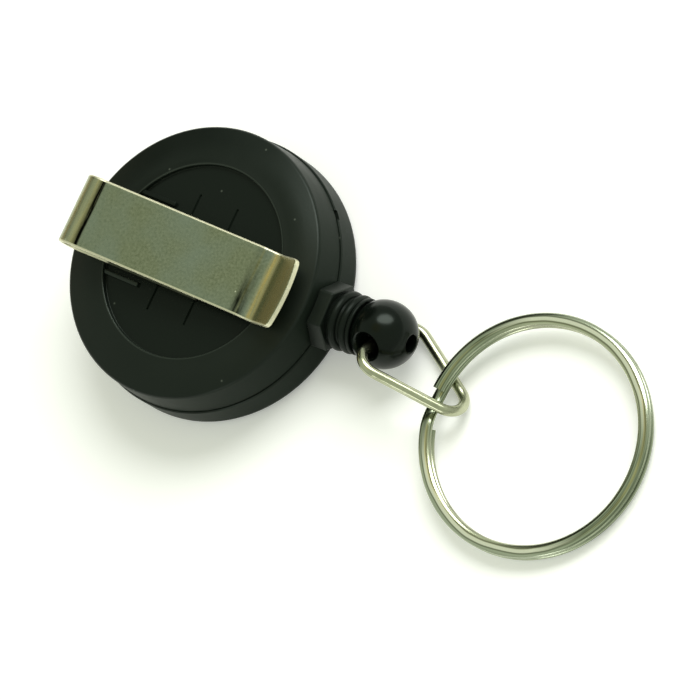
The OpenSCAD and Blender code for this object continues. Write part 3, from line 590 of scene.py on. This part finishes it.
# The face outside the recess is a low dome that falls away to the ridge of the rim
BEAD_R, DOME_R = RECESS_R + 0.3, RECESS_R + 0.75
RIM_Z, DOME_Z, DOME_STEPS, DOME_CURVE = RIDGE_Z - 0.08, CASE_H - 0.05, 12, 1.8
LAP_TOP = SEAM_Z + LAP_H + 0.1
CASE_TURNS = 256
dome = [(DOME_R + (RIDGE_R - DOME_R) * k / DOME_STEPS,
         DOME_Z - (DOME_Z - RIM_Z) * (k / DOME_STEPS) ** DOME_CURVE, 0) for k in range(DOME_STEPS)]
rear = make("rear_case_shell", lathe(rounded([
    (0, ROOF_Z, 0), (INNER_R, ROOF_Z, 0.5), (INNER_R, LAP_TOP, 0), (LAP_R, LAP_TOP, 0), (LAP_R, SEAM_Z, 0),
    (REAR_R - SEAM_BEVEL, SEAM_Z, 0), (REAR_R, SEAM_Z + SEAM_BEVEL, 0.06), (RIDGE_R, RIM_Z, 0.34),
    *reversed(dome), (BEAD_R, CASE_H, 0.25), (RECESS_R, CASE_H, 0.12), (RECESS_R, FLOOR_Z, 0.16),
    (0, FLOOR_Z, 0)]), CASE_TURNS))
turned = Matrix.Rotation(CLIP_YAW, 4, "Z")
rails = [block((-RECESS_R - 0.3, CLIP_SIDE + side * RAIL_SIDE - RAIL_HALF, FLOOR_Z - 0.2),
               (-RECESS_R + RAIL_LEN, CLIP_SIDE + side * RAIL_SIDE + RAIL_HALF, FLOOR_Z + RAIL_H),
               0.09, turned)
         for side in (-1, 1)]
carve(rear, *[("UNION", rail) for rail in rails],
      *[("DIFFERENCE", tool(x)) for x in (SLIT_A, SLIT_B) for tool in (line_tool, slit_tool)],
      ("DIFFERENCE", window_tool(-1, NOZ_Z + WINDOW_RISE)))
finish_piece(rear, ABS, "case", "rear_case")

front = make("front_case_shell", lathe(rounded([
    (0, 0, 0), (CASE_R, 0, 1.3), (CASE_R, SEAM_Z - SEAM_BEVEL, 0.06), (CASE_R - SEAM_BEVEL, SEAM_Z, 0),
    (LAP_R - LAP_CLEAR, SEAM_Z, 0), (LAP_R - LAP_CLEAR, SEAM_Z + LAP_H, 0), (INNER_R, SEAM_Z + LAP_H, 0),
    (INNER_R, FRONT_T, 0.5), (BOSS_R, FRONT_T, 0), (BOSS_R, BOSS_Z, 0), (SOCKET_R, BOSS_Z, 0),
    (SOCKET_R, SOCKET_Z, 0), (0, SOCKET_Z, 0)]), CASE_TURNS))
notch = Matrix.Rotation(NOTCH_A, 4, "Z") @ Matrix.Translation((CASE_R, 0, SEAM_Z))
carve(front, ("DIFFERENCE", window_tool(NOZ_Z - WINDOW_RISE, CASE_H)),
      ("DIFFERENCE", block(-NOTCH_HALF, NOTCH_HALF, 0, notch)))
finish_piece(front, ABS, "case", "front_case")


# Belt clip: a strip swept along its bent path, laid flat in its UV map

EDGE_X = math.sqrt(RECESS_R ** 2 - (CLIP_W / 2 + CLIP_SIDE) ** 2)
FOLD_X, FOLD_R, LEG_Z = -13.25, 1.75, CASE_H + CLIP_T / 2
CREASE_A = math.radians(15)
FOLD_Z = LEG_Z + FOLD_R
FOOT_Z, HOOK_Z = FLOOR_Z + CLIP_T / 2, ROOF_Z - 0.05 - CLIP_T / 2
TOP = Vector((FOLD_X + FOLD_R * math.sin(CREASE_A), FOLD_Z + FOLD_R * math.cos(CREASE_A)))
CREASE_X = FOLD_X + 1.1
CREASE = Vector((CREASE_X, TOP.y - (CREASE_X - TOP.x) * math.tan(CREASE_A)))
ARM = Vector((CASE_R - 6.5, CREASE.y - 1.55))
GRIP = ARM + Vector((1.5, -1.0))
LIP_A, LIP_R = math.radians(28), 14.9


def clip_path():
    """Points of the strip's middle line from the hook to the grip bend, then the lip's direction."""
    lead = rounded([(SLIT_B - 1.5, HOOK_Z, 0), (SLIT_B, HOOK_Z, 0.34), (SLIT_B, FOOT_Z, 0.34),
                    (-(EDGE_X - 1.15), FOOT_Z, 0.5), (-(EDGE_X - 0.2), LEG_Z, 0.5), (FOLD_X, LEG_Z, 0)],
                   8, False, 0)
    fold = [Vector((FOLD_X + FOLD_R * math.cos(a), FOLD_Z + FOLD_R * math.sin(a)))
            for a in (math.radians(270 - 195 * k / 40) for k in range(1, 41))]
    far = GRIP + 4 * Vector((math.cos(LIP_A), math.sin(LIP_A)))
    tail = rounded([(*TOP, 0), (*CREASE, 0.5), (*ARM, 0.8), (*GRIP, 1.5), (*far, 0)], 10, False, 0)[1:-1]
    return lead + fold + tail


def strip_section(edge=0.22):
    """Points round the strip's cross-section, as places across and heights over its middle."""
    half, t = CLIP_W / 2, CLIP_T / 2
    arc = [math.pi / 2 * k / 4 for k in range(5)]
    across = [(half - edge) * (1 - 2 * k / 32) for k in range(1, 32)]
    right = [(half - edge + edge * math.sin(a), t - edge + edge * math.cos(a)) for a in arc]
    left = [(-v, h) for v, h in reversed(right)]
    top = [(-v, t) for v in across]
    upper = left + top + right
    return upper + [(v, -h) for v, h in reversed(upper)]


def belt_clip_mesh():
    """The swept strip, with a round lip end and small corners, and its flat lengths at the bends."""
    path, section = clip_path(), strip_section()
    dense, marks = [path[0]], []
    for a, b in zip(path, path[1:]):
        n = max(1, int((b - a).length / 0.6))
        dense += [a.lerp(b, k / n) for k in range(1, n + 1)]
    bm = bmesh.new()
    uv = bm.loops.layers.uv.new("strip")
    flat = {}
    rings, length = [], 0.0

    def lay_ring(points):
        made = []
        for point, where in points:
            vert = bm.verts.new((point[0], point[1], point[2]))
            flat[vert] = where
            made.append(vert)
        rings.append(made)

    lip = Vector((math.cos(LIP_A), math.sin(LIP_A)))
    lip_n = Vector((-lip.y, lip.x))
    for i, p in enumerate(dense):
        ahead, behind = dense[min(i + 1, len(dense) - 1)], dense[max(i - 1, 0)]
        d = (ahead - behind).normalized()
        n = Vector((-d.y, d.x)) if i < len(dense) - 1 else lip_n
        length += (p - behind).length
        # The strip's upper face is outside the fold, so heights grow to the right of the path
        lay_ring([((p.x - n.x * h, CLIP_SIDE + v, p.y - n.y * h), (length, v)) for v, h in section])
        marks.append((p.x, p.y, length))
    start, corner, break_r = dense[-1], 0.6, 0.06
    straight, bend = 8, 4
    for k in range(1, straight + bend + 1):
        share = min(1.0, k / straight)
        turn = max(0, k - straight) / bend * math.pi / 2
        points = []
        for v, h in section:
            y = CLIP_SIDE + v
            reach = math.sqrt(LIP_R ** 2 - y ** 2)
            over = max(0.0, abs(v) - (CLIP_W / 2 - corner))
            reach -= corner - math.sqrt(max(0.0, corner ** 2 - over ** 2))
            run = (reach - start.x) / lip.x
            run = (run - break_r) * share + break_r * math.sin(turn)
            lift = h * (CLIP_T / 2 - break_r * (1 - math.cos(turn))) / (CLIP_T / 2)
            at = start + lip * run
            points.append(((at.x - lip_n.x * lift, y, at.y - lip_n.y * lift), (length + run, v)))
        lay_ring(points)
    count = len(section)
    for low, high in zip(rings, rings[1:]):
        for k in range(count):
            bm.faces.new((low[k - 1], low[k], high[k], high[k - 1]))
    ends = {bm.faces.new((cap[k], cap[k + 1], cap[count - 2 - k], cap[count - 1 - k]))
            for cap in (rings[0], rings[-1]) for k in range(count // 2 - 1)}
    bmesh.ops.recalc_face_normals(bm, faces=bm.faces)
    for face in bm.faces:
        for loop in face.loops:
            along, across = flat[loop.vert]
            loop[uv].uv = (along + 2 * END_MARK if face in ends else along, across)
    bm.transform(Matrix.Rotation(CLIP_YAW, 4, "Z"))
    return bm, marks


def length_at(marks, point):
    """Length along the strip at the path point nearest to this one."""
    return min(marks, key=lambda m: (m[0] - point.x) ** 2 + (m[1] - point.y) ** 2)[2]


clip_mesh, clip_marks = belt_clip_mesh()
clip = make("spring_clip", clip_mesh)
prong = block((SLIT_A - CLIP_T / 2, CLIP_SIDE - 1.5, HOOK_Z - CLIP_T / 2),
              (SLIT_A + CLIP_T / 2, CLIP_SIDE + 1.5, FOOT_Z - 0.05), 0.06, turned)
carve(clip, ("UNION", prong))
# Painted light along the strip: a painted highlight on the crown of the fold, painted shade in the crease
# behind it, a painted dark reflection at the end of the arm, and painted warm reflections on the grip and lip
CLIP_STEEL = rolled_clip_steel([
    (length_at(clip_marks, TOP) - 0.7, 1.9, "#b4b28c", 0.85, 1),
    (length_at(clip_marks, CREASE) - 0.35, 0.5, "#4a4d3a", 0.8, 1),
    (length_at(clip_marks, CREASE) - 0.12, 0.4, "#070906", 1.6, 1),
    (length_at(clip_marks, ARM) - 0.15, 1.05, "#1c2017", 1.05, 0.25),
    (length_at(clip_marks, GRIP) + 0.05, 1.1, "#ccb97a", 0.75, 1),
    (length_at(clip_marks, GRIP) + 2.2, 3.0, "#9c9468", 0.7, 1)],
    length_at(clip_marks, Vector((-(EDGE_X - 0.2), LEG_Z))))
finish_piece(clip, CLIP_STEEL, "case", "belt_clip")


# Nozzle collar

def hexagon():
    """The bevelled hexagon that stands against the case wall, with flats at the top and bottom."""
    bm = bmesh.new()
    loops = []
    for x in (HEX_BACK, HEX_X):
        loops.append([bm.verts.new((x, HEX_D / 2 * math.cos(math.pi / 3 * k),
                                    NOZ_Z + HEX_D / 2 * math.sin(math.pi / 3 * k))) for k in range(6)])
    for k in range(6):
        bm.faces.new((loops[0][k - 1], loops[0][k], loops[1][k], loops[1][k - 1]))
    bm.faces.new(loops[0])
    bm.faces.new(loops[1])
    bmesh.ops.recalc_face_normals(bm, faces=bm.faces)
    bmesh.ops.bevel(bm, geom=bm.edges[:], offset=0.2, segments=4, profile=0.5, affect="EDGES")
    return bm


SPIGOT_SEAT = HEX_X - SPIGOT_LEN - 0.05
collar = make("hexagon_nozzle", hexagon())
carve(collar,
      ("DIFFERENCE", lathe([(0, -1), (CASE_R + 0.03, -1), (CASE_R + 0.03, 11), (0, 11)], CASE_TURNS)),
      ("UNION", block((MOUTH_X + 0.2, -NECK_HALF, NOZ_Z - NECK_RISE),
                      (NECK_END, NECK_HALF, NOZ_Z + NECK_RISE), 0.1)),
      ("UNION", block((MOUTH_X, -FLANGE_HALF, NOZ_Z - FLANGE_RISE),
                      (MOUTH_X + FLANGE_T, FLANGE_HALF, NOZ_Z + FLANGE_RISE), 0.1)),
      ("DIFFERENCE", lathe([(0, 12), (BORE_R + 1.9, 12), (BORE_R, MOUTH_X + 1.1), (BORE_R, SPIGOT_SEAT),
                            (SPIGOT_R + SPIGOT_CLEAR, SPIGOT_SEAT), (SPIGOT_R + SPIGOT_CLEAR, 20), (0, 20)],
                           64, ALONG_X)))
finish_piece(collar, NOZZLE_ABS, "case", "nozzle_collar")


# Geometry Nodes: each tree makes one piece from named sizes

def new_tree(name, sizes):
    """An empty tree with one geometry input, named size inputs and one geometry output."""
    tree = bpy.data.node_groups.new(name, "GeometryNodeTree")
    tree.interface.new_socket("Geometry", in_out="INPUT", socket_type="NodeSocketGeometry")
    for size in sizes:
        tree.interface.new_socket(size, in_out="INPUT", socket_type="NodeSocketFloat")
    tree.interface.new_socket("Geometry", in_out="OUTPUT", socket_type="NodeSocketGeometry")
    return tree, put(tree, "NodeGroupInput").outputs


def close_tree(tree, geometry, material):
    """Ends a tree in plain geometry with its material."""
    real = put(tree, "GeometryNodeRealizeInstances", {0: geometry})
    painted = put(tree, "GeometryNodeSetMaterial", {"Geometry": real.outputs[0], "Material": material})
    put(tree, "NodeGroupOutput", {0: painted.outputs[0]})


def grow(name, tree, sizes, points=(), edges=()):
    """A new object that holds what the tree makes from these sizes and this line of points."""
    mesh = bpy.data.meshes.new(name)
    mesh.from_pydata(points, edges, [])
    obj = bpy.data.objects.new(name, mesh)
    change = obj.modifiers.new("grow", "NODES")
    change.node_group = tree
    for item in tree.interface.items_tree:
        if item.in_out == "INPUT" and item.name in sizes:
            change[item.identifier] = float(sizes[item.name])
    scene.collection.objects.link(obj)
    settle(obj)
    return obj


def sweep(tree, path, profile, caps):
    """Sweeps a profile along a path. Its lengths along and around and its place across stay as attributes."""
    length = put(tree, "GeometryNodeSplineParameter").outputs["Length"]
    spot = put(tree, "ShaderNodeSeparateXYZ", {0: put(tree, "GeometryNodeInputPosition").outputs[0]})
    curves = [path, profile]
    for curve, name, value in ((0, "along", length), (1, "around", length), (1, "across", spot.outputs[0])):
        curves[curve] = put(tree, "GeometryNodeStoreNamedAttribute",
                            {"Geometry": curves[curve], "Name": name, "Value": value},
                            data_type="FLOAT", domain="POINT").outputs[0]
    return put(tree, "GeometryNodeCurveToMesh",
               {"Curve": curves[0], "Profile Curve": curves[1], "Fill Caps": caps}).outputs[0]


def bent_wire_tree(material):
    """A wire laid along a line of points. Fullness 2 makes its section an ellipse, and more squares it."""
    tree, size = new_tree("bent_wire", ("Width", "Thickness", "Fullness"))
    path = put(tree, "GeometryNodeMeshToCurve", {"Mesh": size["Geometry"]})
    upright = put(tree, "GeometryNodeSetCurveNormal", {"Curve": path.outputs[0]}, mode="Z_UP")
    circle = put(tree, "GeometryNodeCurvePrimitiveCircle", {"Resolution": 40, "Radius": 1.0})
    axes = put(tree, "ShaderNodeSeparateXYZ", {0: put(tree, "GeometryNodeInputPosition").outputs[0]})
    bend = put(tree, "ShaderNodeMath", {0: 2.0, 1: size["Fullness"]}, operation="DIVIDE")
    place = put(tree, "ShaderNodeCombineXYZ")
    for axis, name in enumerate(("Width", "Thickness")):
        away = put(tree, "ShaderNodeMath", {0: axes.outputs[axis]}, operation="ABSOLUTE")
        full = put(tree, "ShaderNodeMath", {0: away.outputs[0], 1: bend.outputs[0]}, operation="POWER")
        side = put(tree, "ShaderNodeMath", {0: axes.outputs[axis]}, operation="SIGN")
        half = put(tree, "ShaderNodeMath", {0: side.outputs[0], 1: size[name]}, operation="MULTIPLY")
        reach = put(tree, "ShaderNodeMath", {0: full.outputs[0], 1: half.outputs[0]}, operation="MULTIPLY")
        last = put(tree, "ShaderNodeMath", {0: reach.outputs[0], 1: 0.5}, operation="MULTIPLY")
        tree.links.new(last.outputs[0], place.inputs[axis])
    section = put(tree, "GeometryNodeSetPosition",
                  {"Geometry": circle.outputs[0], "Position": place.outputs[0]})
    close_tree(tree, sweep(tree, upright.outputs[0], section.outputs[0], True), material)
    return tree


def cord_tree():
    """A braided cord laid along a line of points."""
    tree, size = new_tree("braided_cord", ("Radius", "Strands", "Strand height"))
    curve = put(tree, "GeometryNodeMeshToCurve", {"Mesh": size["Geometry"]})
    circle = put(tree, "GeometryNodeCurvePrimitiveCircle", {"Resolution": 24, "Radius": size["Radius"]})
    turn = put(tree, "ShaderNodeMath", {0: put(tree, "GeometryNodeSplineParameter").outputs["Factor"],
                                        1: size["Strands"]}, operation="MULTIPLY")
    phase = put(tree, "ShaderNodeMath", {0: turn.outputs[0], 1: 2 * math.pi}, operation="MULTIPLY")
    wave = put(tree, "ShaderNodeMath", {0: phase.outputs[0]}, operation="COSINE")
    share = put(tree, "ShaderNodeMath", {0: wave.outputs[0], 1: size["Strand height"], 2: 1.0},
                operation="MULTIPLY_ADD")
    spot = put(tree, "GeometryNodeInputPosition")
    scaled = put(tree, "ShaderNodeVectorMath", {0: spot.outputs[0], "Scale": share.outputs[0]},
                 operation="SCALE")
    strands = put(tree, "GeometryNodeSetPosition",
                  {"Geometry": circle.outputs[0], "Position": scaled.outputs[0]})
    close_tree(tree, sweep(tree, curve.outputs[0], strands.outputs[0], True), NYLON)
    return tree


# Bumper: two round ribs and a rim outside, the ball's seat, the cord's bore and a spigot

RIB_HALF, RIB_STEP, GROOVE_R, RIM_R = 0.525, 1.38, 2.8, 3.2
ribs = []
for at, rib_r in ((BUMP_X, 3.38), (BUMP_X + RIB_STEP, 3.32)):
    middle = rib_r - RIB_HALF
    ribs += [(middle + RIB_HALF * math.sin(a), at - RIB_HALF * math.cos(a), 0)
             for a in (math.pi * k / 18 for k in range(19))]
seat = [(r, BALL_X - math.sqrt(CUP_R ** 2 - r ** 2), 0) for r in
        [BORE_R + (SEAT_R - BORE_R) * k / 16 for k in range(17)]]
bumper = make("ribbed_bumper", lathe(rounded([
    (BORE_R, HEX_X - SPIGOT_LEN, 0), (SPIGOT_R, HEX_X - SPIGOT_LEN, 0.08), (SPIGOT_R, HEX_X, 0),
    (GROOVE_R, HEX_X, 0), *ribs, (GROOVE_R, RIM_X, 0), (RIM_R, RIM_X, 0.16), (RIM_R, BUMP_END, 0.16),
    *reversed(seat)], 6, True, 0.01), 128, ALONG_X))
finish_piece(bumper, RUBBER, "case", "bumper", 40)


# Ball: a turned sphere with the cord's hole, the knot's hole and a flared cross hole

CORD_EDGE_R, KNOT_EDGE_R, BALL_STEPS = 0.74, 1.16, 96
low_a, high_a = math.asin(CORD_EDGE_R / BALL_R), math.pi - math.asin(KNOT_EDGE_R / BALL_R)
sphere = [(BALL_R * math.sin(a), -BALL_R * math.cos(a)) for a in
          (low_a + (high_a - low_a) * k / BALL_STEPS for k in range(BALL_STEPS + 1))]
SHOULDER = KNOT_X - BALL_X
ball_line = [(BORE_R, SHOULDER), (BORE_R, -3.62), (0.63, -3.68), (0.68, -3.71)] + sphere + [
    (1.07, 3.6), (1.02, 3.55), (KNOT_HOLE_R, 3.45), (KNOT_HOLE_R, SHOULDER)]
ball_place = Matrix.Translation((BALL_X, 0, NOZ_Z))
ball = make("ball_stop", lathe(ball_line, 160, ball_place @ Matrix.Rotation(math.pi / 2, 4, "Y")))
FLARE_W, FLARE_LOW, FLARE_LEN, HOLE_END = 0.8, 2.2, 1.3, 5
flare = [(LINK_HOLE_R + FLARE_W * (1 - math.sqrt(1 - (k / 16) ** 2)), FLARE_LOW + FLARE_LEN * k / 16)
         for k in range(17)]
wide = flare[-1][0]
hole_line = [(0, -HOLE_END), (wide, -HOLE_END)] + [(r, -h) for r, h in reversed(flare)]
hole_line += flare + [(wide, HOLE_END), (0, HOLE_END)]
hole_turn = ball_place @ Matrix.Rotation(math.pi / 2 - LINK_ROLL, 4, "X")
carve(ball, ("DIFFERENCE", lathe(hole_line, 96, hole_turn)))
finish_piece(ball, POLISHED, "ball_stop", "ball", 30)


# Wire link and split ring

def sharp_tip(length, half, apex):
    """Distance of the sharp apex that a bend of this radius rounds off to the link's length."""
    low, high = length, length + 60
    for _ in range(60):
        middle = (low + high) / 2
        if middle - apex / math.sin(math.atan2(half, middle)) + apex > length:
            high = middle
        else:
            low = middle
    return low


# The link has slid a little out of the ball and sideways in its hole, and the ring tilts in the link's tip
LINK_SHIFT = (0.3, 0.76, 0)
RING_TILT, RING_LEAN = math.radians(2.5), math.radians(1.6)
tip = sharp_tip(LINK_LEN, LINK_HALF, APEX_R)
bent = rounded([(tip, 0, APEX_R), (0, LINK_HALF, CORNER_R), (0, -LINK_HALF, CORNER_R)], 24, True, 0)
link = grow("triangle_link", bent_wire_tree(NICKEL), {"Width": WIRE_D, "Thickness": WIRE_D, "Fullness": 2},
            [(p.x, p.y, 0) for p in bent], [(k, (k + 1) % len(bent)) for k in range(len(bent))])
link.data.transform(ball_place @ Matrix.Rotation(math.pi - LINK_ROLL, 4, "X")
                    @ Matrix.Rotation(-LINK_SWING, 4, "Y") @ Matrix.Translation(LINK_SHIFT))
finish_piece(link, NICKEL, "link", "wire_link", 60)


def coil_path():
    """Two turns from the upper end, with one step down just before the second turn."""
    points = []
    last = 4 * math.pi - STEP_A
    for k in range(COIL_STEPS + 1):
        turn = last * k / COIL_STEPS
        down = max(0.0, min(1.0, (turn - 2 * math.pi + STEP_A) / STEP_A))
        level = COIL_LIFT * (1 - 2 * down * down * (3 - 2 * down))
        points.append((RING_R * math.cos(CUT_A - turn), RING_R * math.sin(CUT_A - turn), level))
    return points


ring = grow("split_ring_coils", bent_wire_tree(RING_NICKEL),
            {"Width": COIL_W, "Thickness": COIL_T, "Fullness": 2.05},
            coil_path(), [(k, k + 1) for k in range(COIL_STEPS)])
ring.data.transform(Matrix.Translation(HANG) @ Matrix.Rotation(RING_TILT, 4, "Y")
                    @ Matrix.Rotation(RING_LEAN, 4, "X") @ Matrix.Translation((RING_R, 0, 0)))
finish_piece(ring, RING_NICKEL, "ring", "split_ring", 40)


# Pull cord: wound on the spool, led to the nozzle, run through it and knotted in the ball

CORD = cord_tree()
STRANDS, STRAND_RISE = 8, 0.03
CORD_CORE, WOUND_CORE, KNOT_CORE = CORD_D / 2 / (1 + STRAND_RISE), 0.388, 0.23
FEED_R, CORD_BEND = 10.443, 1.5


def wound_cord():
    """Three layers of turns on the drum, each wound back over the one below."""
    points, per_layer, steps, climb = [], 3.9, 156, 0.06
    low, high, radii = 2.83, 5.17, (7.56, 8.36, 9.16)
    for layer, radius in enumerate(radii):
        for k in range(steps):
            share = k / steps
            rise = max(0.0, (share - 1 + climb) / climb)
            r = radius + (radii[min(layer + 1, 2)] - radius) * rise * rise * (3 - 2 * rise)
            a = 2 * math.pi * per_layer * (layer + share)
            z = low + (high - low) * (share if layer % 2 == 0 else 1 - share)
            points.append((r * math.cos(a), r * math.sin(a), z))
    return points


def feed_path():
    """From the winding's tangent, round the bend at the nozzle's mouth and into it."""
    angle = math.radians(45)
    for _ in range(30):
        angle = math.asin(FEED_R / (JOIN_X - CORD_BEND * math.tan(angle / 2) - JOIN_GAP))
    corner = JOIN_X - CORD_BEND * math.tan(angle / 2) - JOIN_GAP
    run = math.sqrt(corner ** 2 - FEED_R ** 2)
    far = (corner - run * math.cos(angle), run * math.sin(angle), 0)
    line = rounded([far, (corner, 0, CORD_BEND), (JOIN_X, 0, 0)], 14, False, 0)
    return [(p.x, p.y, NOZ_Z) for p in line]


def knot_path():
    """A small closed knot behind the shoulder in the ball."""
    middle, half, size, steps = KNOT_X + 0.66, 0.4, 0.2, 120
    turns = [2 * math.pi * k / steps for k in range(steps)]
    return [(middle - half * math.sin(3 * t), size * (math.sin(t) + 2 * math.sin(2 * t)),
             NOZ_Z + size * (math.cos(t) - 2 * math.cos(2 * t))) for t in turns]


def lay_cord(name, points, radius, ring_edge=False):
    """A cord along these points, joined end to end where it is a closed ring."""
    edges = [(k, k + 1) for k in range(len(points) - 1)] + ([(len(points) - 1, 0)] if ring_edge else [])
    sizes = {"Radius": radius, "Strands": STRANDS, "Strand height": STRAND_RISE}
    return grow(name, CORD, sizes, points, edges)


winding = lay_cord("cord_on_spool", wound_cord(), WOUND_CORE)
finish_piece(winding, NYLON, "reel", "cord_winding", 60)
feed = lay_cord("cord_to_nozzle", feed_path(), CORD_CORE)
finish_piece(feed, NYLON, "case", "cord_feed", 60)
knot = lay_cord("cord_end_knot", knot_path(), KNOT_CORE, True)
finish_piece(knot, NYLON, "cord_end", "cord_knot", 60)
RUN_X, RUN_STEPS = JOIN_X + JOIN_GAP, 60
run_points = [(RUN_X + (KNOT_X - RUN_X) * k / RUN_STEPS, 0, NOZ_Z) for k in range(RUN_STEPS + 1)]
run = lay_cord("pull_cord", run_points, CORD_CORE)
finish_piece(run, NYLON, "", "cord_run", 60, False)
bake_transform(run)


# Solids inside the case keep their CAD shape
INSIDE = {"arbor": TURNED, "spool": ACETAL, "spring_cover": ACETAL, "power_spring": SPRING}
for node, material in INSIDE.items():
    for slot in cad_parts[node].material_slots:
        slot.link = "OBJECT"
        slot.material = material


# Floor, light and studio

FLOOR_R, FLOOR_DROP, FLOOR_LIFT = 6, 0.00005, 0.2


def floor_material():
    """White paper: it lights and shades as paper, and shows white to the camera and in reflections."""
    material = bpy.data.materials.new("white_paper_floor")
    material.use_nodes = True
    tree = material.node_tree
    tree.nodes.clear()
    paper = put(tree, "ShaderNodeBsdfDiffuse", {"Color": srgb("#f8f8f6")})
    ray = put(tree, "ShaderNodeLightPath")
    seen = ray.outputs["Is Camera Ray"]
    for kind in ("Is Glossy Ray", "Is Transmission Ray"):
        seen = put(tree, "ShaderNodeMath", {0: seen, 1: ray.outputs[kind]}, operation="MAXIMUM").outputs[0]
    lift = put(tree, "ShaderNodeMath", {0: seen, 1: FLOOR_LIFT}, operation="MULTIPLY")
    glow = put(tree, "ShaderNodeEmission", {"Color": (1, 1, 1, 1), "Strength": lift.outputs[0]})
    both = put(tree, "ShaderNodeAddShader", {0: paper.outputs[0], 1: glow.outputs[0]})
    put(tree, "ShaderNodeOutputMaterial", {"Surface": both.outputs[0]})
    return material


bm = bmesh.new()
bmesh.ops.create_circle(bm, cap_ends=True, segments=96, radius=FLOOR_R,
                        matrix=Matrix.Translation((0, 0, -FLOOR_DROP)))
floor = make("paper_floor", bm)
floor.data.materials.append(floor_material())


LIGHT_REACH, LIGHT_AIM = 0.6, Vector((0.018, 0, 0.005))


def softbox(name, toward, across, width, height, radiance):
    """An oval light that faces the object from 0.6 m, of a given brightness to the eye."""
    light = bpy.data.lights.new(name, "AREA")
    light.shape = "ELLIPSE"
    light.size, light.size_y = width, height
    light.energy = radiance * math.pi * (math.pi / 4 * width * height)
    obj = bpy.data.objects.new(name, light)
    aim = Vector(toward).normalized()
    side = (Vector(across) - Vector(across).dot(aim) * aim).normalized()
    turn = Matrix((side, aim.cross(side), aim)).transposed().to_4x4()
    obj.matrix_world = Matrix.Translation(LIGHT_AIM + aim * LIGHT_REACH) @ turn
    scene.collection.objects.link(obj)


softbox("main_softbox", (0.143, 0.670, 0.719), CAMERA_RIGHT, 0.52, 0.36, 6.2)
softbox("low_fill", (0.249, -0.926, 0.287), CAMERA_RIGHT, 0.2, 0.16, 3.0)

world = bpy.data.worlds.new("grey_studio")
scene.world = world
world.use_nodes = True
tree = world.node_tree
tree.nodes.clear()
toward = put(tree, "ShaderNodeTexCoord").outputs["Generated"]
axes = put(tree, "ShaderNodeSeparateXYZ", {0: toward})
height = put(tree, "ShaderNodeMapRange", {0: axes.outputs[2], 1: 0.0, 2: 0.6, 3: 0, 4: 1},
             interpolation_type="SMOOTHSTEP")
sky = put(tree, "ShaderNodeMix", {0: height.outputs[0], 6: srgb("#c6cbc2"), 7: srgb("#cad2c1")},
          data_type="RGBA").outputs[2]
# Soft areas of the room: its dark side, the warm wall below that, and the warm ceiling. Each has its
# direction, the cosines at which it is full and gone, and its shade
ROOM = (((-0.80, 0.48, 0.37), 0.96, 0.89, "#3c4037"),
        ((-1.0, 0.05, -0.02), 0.97, 0.88, "#c2b48d"),
        ((-0.03, 0.10, 1.0), 0.99, 0.94, "#d6cf9e"))
for direction, full, gone, shade in ROOM:
    near = put(tree, "ShaderNodeVectorMath", {0: toward, 1: Vector(direction).normalized()},
               operation="DOT_PRODUCT")
    share = put(tree, "ShaderNodeMapRange", {0: near.outputs["Value"], 1: gone, 2: full, 3: 0, 4: 1},
                interpolation_type="SMOOTHSTEP")
    sky = put(tree, "ShaderNodeMix", {0: share.outputs[0], 6: sky, 7: srgb(shade)},
              data_type="RGBA").outputs[2]
air = put(tree, "ShaderNodeBackground", {"Color": sky, "Strength": 1.0})
put(tree, "ShaderNodeOutputWorld", {"Surface": air.outputs[0]})
